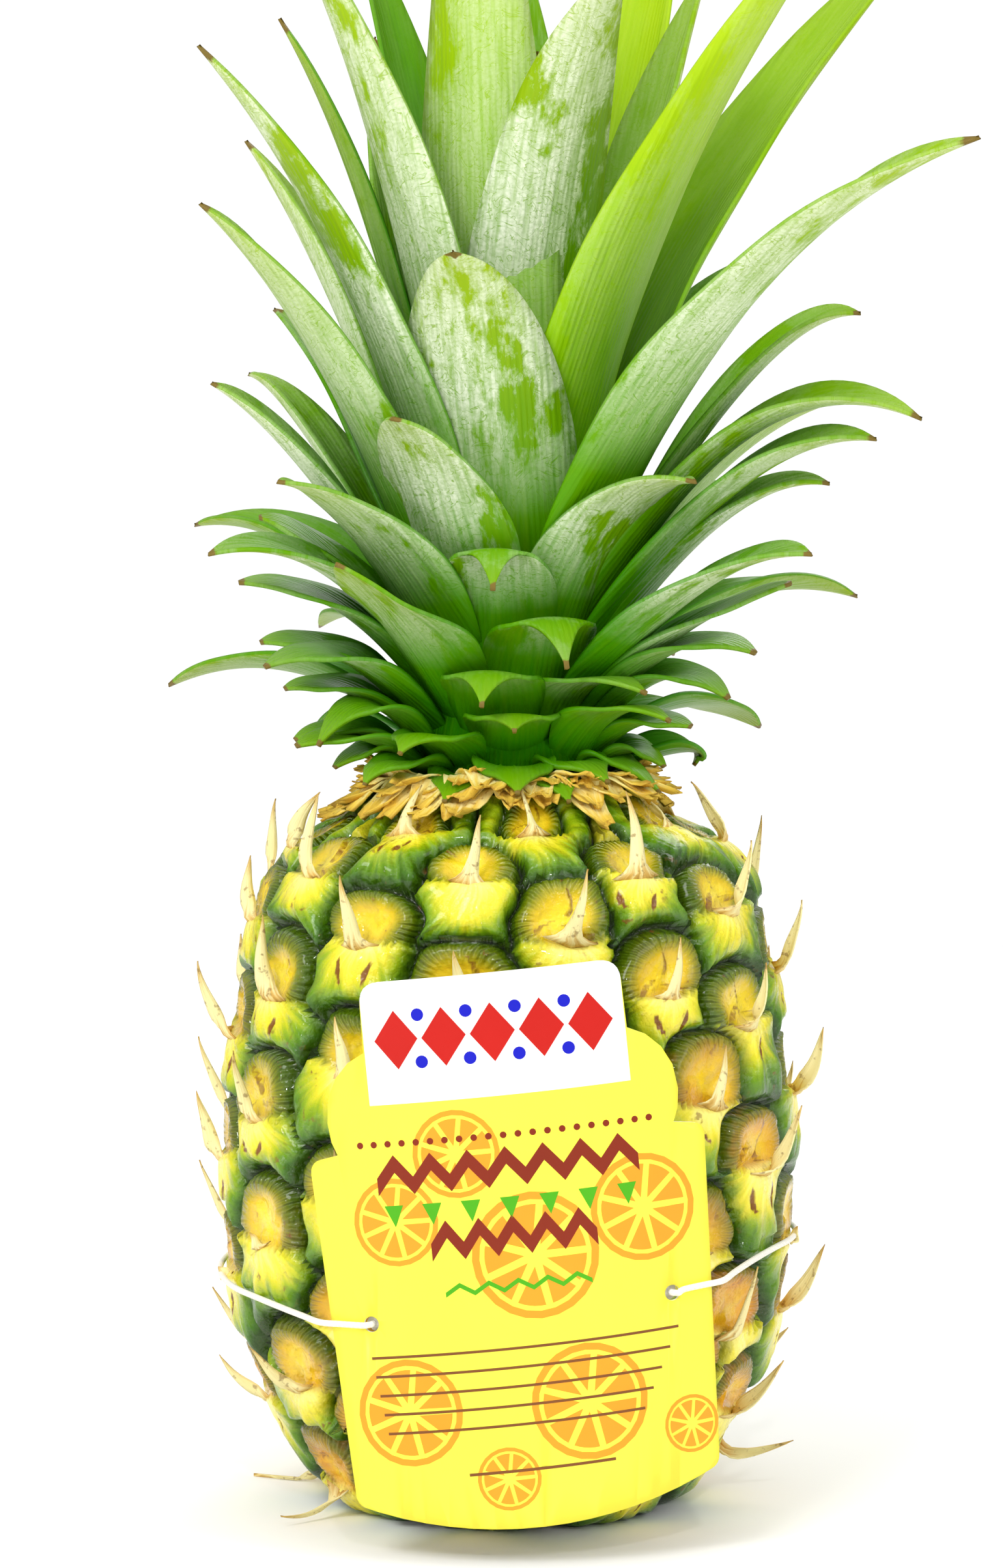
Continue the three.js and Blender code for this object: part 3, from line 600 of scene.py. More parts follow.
def eye_fields(turn, distance, radius):
    """For each place: whether it is on a disc, how far the border is, and its place in its eye."""
    lean = np.radians(turn)
    wander_up = 0.8 * np.sin(0.23 * distance + 3 * lean) + 0.4 * np.sin(0.61 * distance - 5 * lean)
    wander_out = 0.8 * np.sin(0.27 * distance - 4 * lean + 1.3)
    wander_out += 0.4 * np.sin(0.7 * distance + 7 * lean)
    count = len(turn)
    nearest, second, least_reach = (np.full(count, np.inf) for _ in range(3))
    of_cape, of_disc = np.zeros((7, count)), np.zeros((7, count))
    for index, eye in enumerate(list_eyes()):
        place = eye_place(index, eye, turn, distance, radius, (wander_out, wander_up))
        side, rise, _, _, reach, wing = place
        record = np.stack([*place, np.full(count, index)])
        # A disc shows only above its own cape
        reach = np.where(rise > wing - WING_BLEND, reach, np.inf)
        of_disc = np.where(reach < least_reach, record, of_disc)
        least_reach = np.minimum(reach, least_reach)
        span = np.hypot(side, 1.15 * (rise + CAPE_DROP))
        closer = span < nearest
        second = np.where(closer, nearest, np.minimum(second, span))
        nearest = np.where(closer, span, nearest)
        of_cape = np.where(closer, record, of_cape)
    in_disc = least_reach < 1
    edge = np.where(in_disc, (1 - least_reach) * DISC_HALF_HEIGHT,
                    np.minimum((second - nearest) / 2, (least_reach - 1) * DISC_HALF_HEIGHT))
    return in_disc, edge, np.where(in_disc, of_disc, of_cape)


def shape_rind(turn, distance, radius, settings):
    """Height of the skin above the outline in millimetres, and the three looks of each place."""
    in_disc, edge, (side, rise, disc_side, disc_rise, reach, wing, owner) = eye_fields(
        turn, distance, radius)
    owner = owner.astype(int)
    eyes = range(owner.max() + 1)
    chance, other_chance = (np.array([jitter(index, salt) for index in eyes])[owner]
                            for salt in (21, 22))
    cape = np.where(in_disc, smooth_step(-WING_BLEND, WING_BLEND, wing - rise), 1)
    theta = np.arctan2(disc_side, disc_rise)

    # Three sepals fold over each other in a slow swirl round the sunken middle
    swirl = np.mod(3 * theta / FULL_TURN + 0.55 * reach + chance, 1)
    sepals = (swirl - 0.5) * smooth_step(0.05, 0.25, reach) * (1 - smooth_step(0.5, 0.72, reach))
    bowl = 1 - smooth_step(0.12, 0.8, reach)
    disc_height = 1.0 - (2.2 + 0.8 * (other_chance - 0.5)) * bowl + sepals
    rim = hill(reach - 0.86, 0.17)
    disc_height += 0.24 * (np.sin(34 * theta + 4 * np.sin(3 * theta + 5 * chance)) * rim)

    fan = np.arctan2(side, CAPE_DROP - rise)
    ridge = hill(side, 4.5) * hill(rise + 3.5, 5)
    pleats = np.cos(fan * 13 + 6 * chance) * smooth_step(-4, -9.5, rise)
    wing_lift = 0.6 * smooth_step(6, 11, np.abs(side)) * hill(rise - wing + 1.5, 2)
    cape_height = 1.1 + 0.9 * ridge + 0.45 * pleats + 0.6 * smooth_step(-4, -9, rise) + wing_lift
    height = disc_height * (1 - cape) + cape_height * cape
    # A thin undercut where the cape's upper edge lies over the sepals
    height -= 0.6 * hill(rise - wing - 0.8, 0.7) * in_disc
    crease = settings.crease_depth / MM * np.exp(-(edge / 0.9) ** 1.3) + 1.1 * np.exp(-edge / 2.6)
    height = height - crease - 0.8
    slit_along = rise + 5.4
    slit_across = np.abs(side) - 3.7 - 0.35 * slit_along + 1.6 * (chance - 0.5)
    slit = np.clip((slit_across / 1.2) ** 2 + (slit_along / 3.6) ** 2, 0, 1)
    slit = np.where(other_chance > 0.3, slit, 1.0)
    # The lines where one sepal folds over the next
    fold = np.minimum(swirl, 1 - swirl) * FULL_TURN / 3 * reach * DISC_HALF_HEIGHT / 1.3
    fold = np.where((reach > 0.08) & (reach < 0.62), np.clip(fold, 0.4, 1), 1.0)
    slit = np.where(cape > 0.5, slit, np.where(chance > 0.45, fold, 1.0))
    height -= 0.7 * (1 - smooth_step(0.0, 0.3, slit)) * cape

    fade = np.clip(np.minimum(distance, OUTLINE.length - distance) / END_FADE, 0, 1)
    # Yellow spreads from the bract along the wings and into the two lower corners
    rays = hill(np.abs(side) - 0.55 * np.abs(rise - 1) - 3, 2.6)
    tone = np.clip(np.abs(side) / 15 * 0.55 + np.clip(-rise, 0, None) / 11 * 0.66, 0, 1.4)
    # Painted shade: the cape's tone turns deeper green within about a millimetre of each crease
    tone = tone + 0.5 * np.exp(-edge / 1.1) - 0.14 * ridge - 0.16 * rays
    ripe = np.clip(0.95 - distance / 125 + 0.7 * (other_chance - 0.5), 0, 1)
    tone = tone - 0.15 * ripe
    form = np.stack([cape, reach, edge], axis=1)
    rays = np.stack([theta, fan, tone], axis=1)
    look = np.stack([chance, ripe, slit], axis=1)
    return height * fade, form, rays, look


def raise_rind(mesh, settings):
    """Moves the spun skin's vertices to the eyes' relief and marks each with its looks."""
    count = len(mesh.vertices)
    places = np.empty(count * 3, np.float32)
    mesh.vertices.foreach_get("co", places)
    x, y, z = places.reshape(-1, 3).astype(float).T / MM
    distance = np.empty(count, np.float32)
    mesh.attributes["along"].data.foreach_get("value", distance)
    mesh.attributes.remove(mesh.attributes["along"])
    distance = distance.astype(float)
    turn = np.degrees(np.arctan2(x, -y))
    ring, ring_height, slope_out, slope_up = OUTLINE.at(distance)
    on_skin = (distance >= 0) & (distance <= OUTLINE.length)
    raised, form, rays, look = shape_rind(turn, distance, np.maximum(ring, 1), settings)
    reach = np.hypot(x, y)
    new_reach = np.where(on_skin, ring + raised * slope_up, reach)
    new_height = np.where(on_skin, ring_height - raised * slope_out, z)
    # The elastic presses a shallow groove into the sides and back
    beside = np.abs(new_height - elastic_height(turn))
    groove = ELASTIC_ORBIT - ELASTIC_RADIUS - OFF_CARD + np.clip(beside - 0.9, 0, None) ** 2
    new_reach = np.where(np.abs(turn) > ELASTIC_ON_SKIN, np.minimum(new_reach, groove), new_reach)
    # The cut stalk leaves a fibrous scar in the middle of the base
    scar = (distance < 0) & (reach < SCAR_RADIUS)
    fibres = 0.8 + 0.4 * np.sin(x * 1.7) * np.sin(y * 1.9)
    new_height = np.where(scar, fibres, np.clip(new_height, 0, None))
    scale = np.where(reach > 0, new_reach / np.maximum(reach, 1e-6), 1)
    places = np.stack([x * scale, y * scale, new_height], axis=1)
    mesh.vertices.foreach_set("co", (places * MM).astype(np.float32).ravel())
    # The base looks like the rim of a ripe eye, and its scar is brown like a slit
    form[distance < 0] = (0, 0.8, 3)
    look[distance < 0, 1:] = 1
    look[scar, 2] = 0
    for name, values in (("eye_form", form), ("eye_rays", rays), ("eye_look", look)):
        layer = mesh.attributes.new(name, "FLOAT_VECTOR", "POINT")
        layer.data.foreach_set("vector", values.astype(np.float32).ravel())
    mesh.update()


def build_rind(settings):
    """The whole skin of the fruit: a spun profile whose rows are then raised and creased."""
    inner = np.linspace(-BASE_RADIUS, 0, END_ROWS)[:-1]
    rows = np.concatenate([inner, np.linspace(0, OUTLINE.length, settings.skin_rows),
                           OUTLINE.length - inner[::-1]])
    radius, height, _, _ = OUTLINE.at(rows)
    radius = np.where(rows < 0, BASE_RADIUS + rows, radius)
    radius = np.where(rows > OUTLINE.length, BASE_RADIUS - (rows - OUTLINE.length), radius)
    bm = bmesh.new()
    layer = bm.verts.layers.float.new("along")
    profile = [bm.verts.new((0, -r, z)) for r, z in zip(radius, height)]
    for vertex, row in zip(profile, rows):
        vertex[layer] = row
    edges = [bm.edges.new(pair) for pair in zip(profile, profile[1:])]
    bmesh.ops.spin(bm, geom=profile + edges, cent=(0, 0, 0), axis=(0, 0, 1), dvec=(0, 0, 0),
                   angle=FULL_TURN, steps=settings.skin_sides, use_merge=True, use_duplicate=False)
    bmesh.ops.remove_doubles(bm, verts=bm.verts, dist=0.001)
    bmesh.ops.recalc_face_normals(bm, faces=bm.faces)
    piece = finish_piece(bm, "fruit_rind", [rind_material(settings)], ["fruit"])
    raise_rind(piece.data, settings)


def add_blade(bm, layer, columns, rows, place_at, seed):
    """Adds a grid bent to a blade: place_at takes -1 to 1 across and 0 to 1 along."""
    grid = bmesh.ops.create_grid(bm, x_segments=columns, y_segments=rows, size=1)
    for vertex in grid["verts"]:
        place, mark = place_at(vertex.co.x, (vertex.co.y + 1) / 2)
        vertex.co = Vector(place)
        vertex[layer] = Vector((*mark, seed))
    return grid["verts"]


def spine_blade(index, turn, distance, settings):
    """The place function of one bract blade that stands out of an eye."""
    ring, height, slope_out, slope_up = OUTLINE.at(distance)
    out = outward(turn)
    along = out * slope_out + UP * slope_up
    normal = out * slope_up - UP * slope_out
    side = np.cross(along, normal)
    off_front = abs(from_front(turn))
    covered = off_front < TAG_HALF_TURN and height < TAG_CENTRE[1] + TAG_TOP
    lean = math.radians(SPINE_LEAN + 24 * (jitter(index, 1) - 0.5))
    length = settings.spine_length / MM * (0.95 + 0.4 * jitter(index, 2))
    if covered:
        lean = math.radians(COVERED_SPINE_LEAN)
        length = min(length, COVERED_SPINE_LENGTH)
    if distance > OUTLINE.length - SPLAYED_BELOW:
        length *= 0.8
    if distance < SPLAYED_BELOW and not covered:
        lean = math.radians(50 + 30 * jitter(index, 7))
    sway = math.radians(24) * (jitter(index, 3) - 0.5)
    tip_height = height + length * (slope_up * math.cos(lean) - slope_out * math.sin(lean))
    band = elastic_height(turn)
    if off_front > 52 and height < band + 1.5 < tip_height + 3:
        length *= float(np.clip((band - 2.6 - height) / max(tip_height - height, 1), 0.22, 1))
    root = out * ring + UP * height + normal * 0.1 - along * 0.6
    wide, forward = swing(side, along, sway)
    cup = 0.25 + 0.3 * jitter(index, 4)
    twist = math.radians(130) * (jitter(index, 8) - 0.5)
    if abs(off_front - 90) < 38:
        twist = math.copysign(math.radians(55 + 30 * jitter(index, 8)), turn)
    if covered:
        twist = 0

    def place_at(u, f):
        flare = hill(f, 0.1)
        half = (2.9 * flare + 1.9 * (1 - f ** 1.4)) * (0.75 + 0.5 * jitter(index, 5)) + 0.08
        way, facing = swing(forward, normal, lean * (1.25 - 0.4 * f))
        lift = -cup * half * (1 - u * u) * (1 - flare) + flare * (0.9 * u * u - 0.2)
        across, facing = swing(wide, facing, twist * smooth_step(0.02, 0.4, f))
        wavy = 0.25 * math.sin(7 * f + 5 * jitter(index, 6)) * (1 - flare)
        place = root + way * length * f + across * (half * u + wavy) - facing * lift
        place += forward * flare * 1.1 * abs(u)
        return (place[0], place[1], max(place[2], 0.5)), (u, f)

    return place_at


def build_spines(settings):
    """A dry pointed bract in the middle of every eye."""
    bm = bmesh.new()
    layer = bm.verts.layers.float_vector.new("blade_place")
    for index, (turn, distance) in enumerate(list_eyes()):
        if not SPINE_MARGIN <= distance <= OUTLINE.length - SPINE_MARGIN:
            continue
        add_blade(bm, layer, *SPINE_GRID, spine_blade(index, turn, distance, settings), index * 7.3)
    material = dry_material("dry_bract_spine", "#f0e3a4", "#cda450", "#744a12", True)
    finish_piece(bm, "bract_spines", [material], thickness=DRY_THICKNESS * MM)


def stem_radius(height):
    """Radius of the crown's stem, which narrows upwards."""
    fraction = min(max(height / STEM_HEIGHT, 0), 1)
    return STEM_FOOT_RADIUS + (STEM_TOP_RADIUS - STEM_FOOT_RADIUS) * fraction


def list_leaves():
    """Every leaf as its row of sizes with its bloom and yellowness."""
    leaves = []
    for index, row in enumerate(FRONT_LEAVES):
        level = row[1] / HIGHEST_ROOT
        bloom = 0.05 + 0.65 * smooth_step(0.15, 0.5, level) * (0.6 + 0.6 * jitter(index, 13))
        yellow = 0.08 + 0.5 * smooth_step(0.4, 0.9, level) * (0.5 + jitter(index, 14))
        leaves.append((row, *LEAF_LOOKS.get(index, (bloom, yellow))))
    for index in range(INNER_LEAF_COUNT):
        turn = 20 + index * 360 / INNER_LEAF_COUNT
        height = 120 + 40 * jitter(index, 9)
        row = (turn, HIGHEST_ROOT, INNER_LEAF_WIDTH, 12, 84, 13 + 6 * jitter(index, 10), height, 0)
        leaves.append((row, 0.1, 0.8))
    for index in range(BACK_LEAF_COUNT):
        level = index / (BACK_LEAF_COUNT - 1)
        turn = BACK_LEAF_START + (index * BACK_LEAF_TURN) % BACK_LEAF_SPAN
        reach = 40 + 42 * math.sin(math.pi * level ** 0.8) + 8 * jitter(index, 3)
        height = 4 + 190 * level ** 1.6
        width = 20 + 14 * level + 4 * jitter(index, 4)
        middle_reach = 24 + 0.38 * reach - 14 * level
        middle_height = 0.6 * height + 6 + 10 * math.sin(math.pi * level)
        row = (turn, 3 + 36 * level, width, middle_reach, middle_height, reach, height,
               20 * jitter(index, 5) - 10)
        bloom = 0.15 + 0.6 * level * jitter(index, 15)
        leaves.append((row, bloom, 0.5 * level * jitter(index, 16)))
    return leaves


def leaf_blade(index, row):
    """The place function of one crown leaf."""
    turn, root, width, middle_reach, middle_height, tip_reach, tip_height, twist = row
    start = np.array([stem_radius(root) - 2, root])
    tip = np.array([tip_reach, tip_height])
    elbow = 2 * np.array([middle_reach, middle_height]) - (start + tip) / 2
    length = float(np.hypot(*(elbow - start)) + np.hypot(*(tip - elbow)))
    # Short leaves flatten towards their tips, and front ones that fold over dome and narrow sooner
    fold = smooth_step(0, 3.5, middle_height - tip_height) * smooth_step(75, 55, abs(turn))
    flatness = max(1.1 * smooth_step(95, 55, length), 1.3 * fold)
    out = outward(turn)
    across_way = np.cross(UP, out)

    def place_at(u, f):
        point = arc_point(start, elbow, tip, f)
        way = 2 * (1 - f) * (elbow - start) + 2 * f * (tip - elbow)
        way = way / np.hypot(*way)
        centre = out * point[0] + UP * (CROWN_FOOT + point[1])
        along = out * way[0] + UP * way[1]
        roll = math.radians(twist * math.sqrt(f))
        side, _ = swing(across_way, np.cross(across_way, along), roll)
        facing = np.cross(along, side)
        swell = 0.5 + 0.5 * math.sin(math.pi / 2 * min(f / 0.4, 1))
        half = max(0.35, 0.5 * width * swell * (1 - f ** (2.4 - 0.6 * fold)) ** (0.85 + 0.4 * fold))
        ripple = 0.025 * math.sin(f * length / 9 + 6 * jitter(index, 30) + 2 * u)
        flattened = flatness * smooth_step(0.3 - 0.15 * fold, 0.75 - 0.2 * fold, f)
        trough = half * (0.4 + 0.05 * f + ripple) * (1 - flattened)
        place = centre + side * half * u + facing * (trough * u * u - LEAF_DEPTH)
        return place, (u * half, f * length)

    return place_at


def build_leaves(settings):
    """Every leaf of the crown, each a bent grid, and the stem that they grow from."""
    bm = bmesh.new()
    layer = bm.verts.layers.float_vector.new("leaf_place")
    look_layer = bm.verts.layers.float_vector.new("leaf_look")
    for index, (row, bloom, yellow) in enumerate(list_leaves()):
        place_at = leaf_blade(index, row)
        verts = add_blade(bm, layer, LEAF_COLUMNS, LEAF_ROWS, place_at, index * 3.7)
        length = max(vertex[layer].y for vertex in verts)
        for vertex in verts:
            vertex[look_layer] = Vector((vertex[layer].y / length, bloom, yellow))
    lift = Matrix.Translation((0, 0, CROWN_FOOT + STEM_HEIGHT / 2))
    stem = bmesh.ops.create_cone(bm, cap_ends=True, segments=64, radius1=STEM_FOOT_RADIUS,
                                 radius2=STEM_TOP_RADIUS, depth=STEM_HEIGHT, matrix=lift)
    for vertex in stem["verts"]:
        across = math.atan2(vertex.co.x, -vertex.co.y) * STEM_FOOT_RADIUS
        vertex[layer] = Vector((across, vertex.co.z, 0))
        vertex[look_layer] = Vector((0.12, 0, 0))
    upper = leaf_material("leaf_inner_face", settings, True)
    lower = leaf_material("leaf_outer_face_with_bloom", settings, False)
    finish_piece(bm, "crown_leaves", [lower, upper], ["crown"],
                 thickness=settings.leaf_thickness, wall_step=1)


def collar_blade(index):
    """The place function of one ragged dry bract that lies on the shoulder."""
    turn = index * GOLDEN_TURN + 14 * jitter(index, 41)
    reach = 31 + 11 * jitter(index, 42)
    width = 8 + 7 * jitter(index, 43)
    curl = 6.5 * jitter(index, 44) ** 2
    lie = 0.8 + 2.2 * jitter(index, 45)
    if index >= COLLAR_BLADES:
        # Upright ones close the gap under the lowest leaves
        reach = 29 + 8 * jitter(index, 42)
        width = 7 + 6 * jitter(index, 43)
        curl = 2 + 5 * jitter(index, 44)
    out = outward(turn)
    side = np.cross(UP, out)

    def place_at(u, f):
        radius = COLLAR_INNER_RADIUS - 1.5 + (reach - COLLAR_INNER_RADIUS + 1.5) * f
        ragged = 1.2 * math.sin(9 * u + 7 * jitter(index, 46)) * f * f
        height = OUTLINE.shoulder_height(min(radius, 60)) + lie + curl * f * f
        height += 0.7 * math.sin(3 * u + 8 * f + index) * f
        half = width / 2 * (1 - 0.75 * f ** 1.6) + 0.3
        height += 0.08 * half * half * u * u * f
        place = out * (radius + ragged) + side * half * u + UP * height
        return place, (u, f)

    return place_at


def build_collar():
    """Ragged papery bracts between the fruit and the crown."""
    bm = bmesh.new()
    layer = bm.verts.layers.float_vector.new("blade_place")
    for index in range(COLLAR_BLADES + UPRIGHT_BLADES):
        add_blade(bm, layer, *COLLAR_GRID, collar_blade(index), index * 5.1)
    material = dry_material("dry_papery_bract", "#fbefa6", "#eac648", "#a4741c", False)
    finish_piece(bm, "dry_bracts", [material], ["dry_bract_collar"],
                 thickness=DRY_THICKNESS * MM)


# Tag

def on_tag(right, up, proud):
    """A place on the bent card: right and up on the flat card, then height above its face."""
    level, rise = swing(right, up, -TAG_TILT)
    angle = level / TAG_BEND_RADIUS
    radius = TAG_BEND_RADIUS + proud
    hub = TAG_BEND_RADIUS - TAG_FRONT
    return np.array([TAG_CENTRE[0] + radius * math.sin(angle), hub - radius * math.cos(angle),
                     TAG_CENTRE[1] + rise])


def rounded(corners):
    """Points of an outline whose corners, given as right, up and radius, are rounded."""
    points = []
    for index, (x, y, radius) in enumerate(corners):
        here = np.array([x, y])
        if radius == 0:
            points.append(here)
            continue
        before, after = (np.array(corners[place % len(corners)][:2]) - here
                         for place in (index - 1, index + 1))
        before, after = before / np.hypot(*before), after / np.hypot(*after)
        half = math.acos(float(np.clip(before @ after, -1, 1))) / 2
        pull = radius / math.tan(half)
        for step in range(ROUNDING_STEPS + 1):
            points.append(arc_point(here + before * pull, here, here + after * pull,
                                    step / ROUNDING_STEPS))
    return points


def add_loop(bm, points):
    """A closed ring of edges on the flat card."""
    verts = [bm.verts.new((x, y, 0)) for x, y in points]
    return [bm.edges.new((verts[index - 1], verts[index])) for index in range(len(verts))]


def cut(bm, place, way):
    """Cuts the flat card or ink along a line through a place, square to a way."""
    bmesh.ops.bisect_plane(bm, geom=bm.verts[:] + bm.edges[:] + bm.faces[:], dist=0.0001,
                           plane_co=place, plane_no=way)


def bend_onto_tag(bm, proud):
    """Cuts the flat shapes into narrow strips and bends them to the card's curve."""
    level = Vector((math.cos(TAG_TILT), -math.sin(TAG_TILT), 0))
    for step in range(-STRIPS_PER_SIDE, STRIPS_PER_SIDE + 1):
        cut(bm, level * step * STRIP_WIDTH, level)
    for vertex in bm.verts:
        vertex.co = Vector(on_tag(vertex.co.x, vertex.co.y, proud))


def card_outline():
    """The card's outline: a bowed foot, straight sides, rounded shoulders and an upper panel."""
    left = [(-x, y, radius) for x, y, radius in reversed(TAG_CORNERS)]
    half_width, foot_height, _ = TAG_CORNERS[0]
    foot = [(half_width * across, foot_height - TAG_BOTTOM_BOW * (1 - across * across), 0)
            for across in (step / BOW_STEPS - 1 for step in range(1, 2 * BOW_STEPS))]
    return rounded([*TAG_CORNERS, *left, *foot])


def ring_points(x, y, radius, count):
    """Evenly spaced points round a circle on the card."""
    return [on_circle(x, y, radius, k / count) for k in range(count)]


def on_circle(x, y, radius, part):
    """The point of a circle at a part of a full turn."""
    return x + radius * math.cos(FULL_TURN * part), y + radius * math.sin(FULL_TURN * part)


def build_card(settings):
    """The die-cut card with its two punched holes, bent round the fruit."""
    bm = bmesh.new()
    edges = add_loop(bm, card_outline())
    right, up = HOLE_OFFSET
    for side in (-1, 1):
        edges += add_loop(bm, ring_points(side * right, up, HOLE_RADIUS, CIRCLE_SIDES))
    bmesh.ops.triangle_fill(bm, use_beauty=True, use_dissolve=False, edges=edges, normal=(0, 0, 1))
    cut(bm, (0, PANEL_FOOT, 0), (0, 1, 0))
    cut(bm, (-PANEL_HALF_WIDTH, 0, 0), (1, 0, 0))
    cut(bm, (PANEL_HALF_WIDTH, 0, 0), (1, 0, 0))
    for face in bm.faces:
        middle = face.calc_center_median()
        is_panel = middle.y > PANEL_FOOT and abs(middle.x) < PANEL_HALF_WIDTH
        face.material_index = int(is_panel)
    bmesh.ops.recalc_face_normals(bm, faces=bm.faces)
    bend_onto_tag(bm, 0)
    bm.normal_update()
    if sum(face.normal.y for face in bm.faces) > 0:
        bmesh.ops.reverse_faces(bm, faces=bm.faces)
    body = card_material("printed_card_yellow", settings.card_colour, 0.38)
    panel = card_material("printed_card_white", linear("#fdfdfb"), 0.38)
    back = card_material("bare_card_back", linear("#f4f1e6"), 0.7)
    finish_piece(bm, "tag_card", [body, panel, back, back], ["tag"],
                 thickness=CARD_THICKNESS * MM, wall_step=2)


def slice_shapes(x, y, radius):
    """A round fruit slice: nine wedges inside a peel ring."""
    shapes = []
    for index in range(SLICE_WEDGES):
        start = index / SLICE_WEDGES + WEDGE_GAP
        span = 1 / SLICE_WEDGES - 2 * WEDGE_GAP
        outer = [on_circle(x, y, WEDGE_REACH * radius, start + span * k / 5) for k in range(6)]
        shapes.append([on_circle(x, y, WEDGE_ROOT * radius, start + span / 2), *outer])
    for step in range(CIRCLE_SIDES):
        corners = [(step, PEEL_INSIDE), (step + 1, PEEL_INSIDE), (step + 1, 1), (step, 1)]
        shapes.append([on_circle(x, y, reach * radius, place / CIRCLE_SIDES)
                       for place, reach in corners])
    return shapes


def bar(left, right, up, thick):
    """A plain level bar."""
    low, high = up - thick / 2, up + thick / 2
    return [(left, low), (right, low), (right, high), (left, high)]


def zigzag(left, right, up, height, thick, teeth):
    """A zigzag band as slanted strokes."""
    strokes = []
    for index in range(teeth * 2):
        a = left + (right - left) * index / (teeth * 2)
        b = left + (right - left) * (index + 1) / (teeth * 2)
        low, high = (up, up + height) if index % 2 == 0 else (up + height, up)
        strokes.append([(a, low), (b, high), (b, high + thick), (a, low + thick)])
    return strokes


def print_shapes():
    """Each ink's name, its colour and its flat shapes. Only the first lies under the others."""
    slices = [shape for place in SLICE_PLACES for shape in slice_shapes(*place)]
    brown = zigzag(-27, 27, 28.5, 4.6, 3.6, 7) + zigzag(-17, 17, 14.5, 4.6, 3.6, 5)
    brown += [ring_points(3 * k - 30, 39, 0.7, 10) for k in range(21)]
    green = zigzag(-15, 15, 7, 1.8, 1.0, 5)
    green += [[(x - 2, 26.4), (x + 2, 26.4), (x, 22)] for x in range(-24, 25, 8)]
    rules = [bar(-32 + 0.5 * k, 32 - 2.2 * k, -4.5 - 3.9 * k, 0.55) for k in range(5)]
    rules.append(bar(-14, 16, -29.5, 0.6))
    red = [[(x - 4.6, 60), (x, 54), (x + 4.6, 60), (x, 66)] for x in (-20, -10, 0, 10, 20)]
    blue = [ring_points(x, y, 1.3, 16) for x in (-15, -5, 5, 15) for y in (55.2, 64.8)]
    return [("ink_pale_orange", "#ec9c22", slices), ("ink_red_brown", "#822404", brown),
            ("ink_leaf_green", "#4aa80a", green), ("ink_brown_rules", "#7c4a20", rules),
            ("ink_red", "#c01204", red), ("ink_blue", "#0810b8", blue)]


def build_print():
    """The card's generic print, as thin films of ink on its face."""
    bm = bmesh.new()
    materials = []
    for number, (name, hex_colour, shapes) in enumerate(print_shapes()):
        ink = bmesh.new()
        for points in shapes:
            ink.faces.new([ink.verts.new((x, y, 0)) for x, y in points])
        bend_onto_tag(ink, TOP_INK if number else FIRST_INK)
        ink.normal_update()
        bmesh.ops.reverse_faces(ink, faces=[face for face in ink.faces if face.normal.y > 0])
        for face in ink.faces:
            face.material_index = number
        film = bpy.data.meshes.new(name)
        ink.to_mesh(film)
        ink.free()
        bm.from_mesh(film)
        bpy.data.meshes.remove(film)
        materials.append(card_material(name, linear(hex_colour), 0.4))
    finish_piece(bm, "tag_print", materials)


def elastic_route():
    """Places along the elastic: out of one hole, round the back, and in at the other."""
    proud = ELASTIC_RADIUS + OFF_CARD
    behind = CARD_THICKNESS + OFF_CARD + KNOT_RADIUS
    right, up = HOLE_OFFSET
    steps = [(right, -behind), (right, -CARD_THICKNESS / 2), (right + 0.25, 0.5),
             (right + 1, proud), (right + 2.2, proud), (38, proud), (42.5, proud)]
    left_end = [on_tag(-across, up, height) for across, height in steps]
    right_end = [on_tag(across, up + RIGHT_END_CLIMB * max(across - right - 2.2, 0), height)
                 for across, height in steps]
    around = []
    for step in range(ORBIT_STEPS + 1):
        fraction = step / ORBIT_STEPS
        turn = -ORBIT_START - (360 - 2 * ORBIT_START) * fraction
        around.append(outward(turn) * ELASTIC_ORBIT + UP * elastic_height(turn))
    # Extra places along the free stretches, then the heights are evened out between the holes
    parts = [k / FREE_STEPS for k in range(1, FREE_STEPS)]
    left_free = [left_end[-1] * (1 - part) + around[0] * part for part in parts]
    right_free = [around[-1] * (1 - part) + right_end[-1] * part for part in parts]
    route = np.array([*left_end, *left_free, *around, *right_free, *reversed(right_end)])
    for _ in range(SMOOTHING_PASSES):
        route[4:-4, 2] = (route[3:-5, 2] + 2 * route[4:-4, 2] + route[5:-3, 2]) / 4
    return route


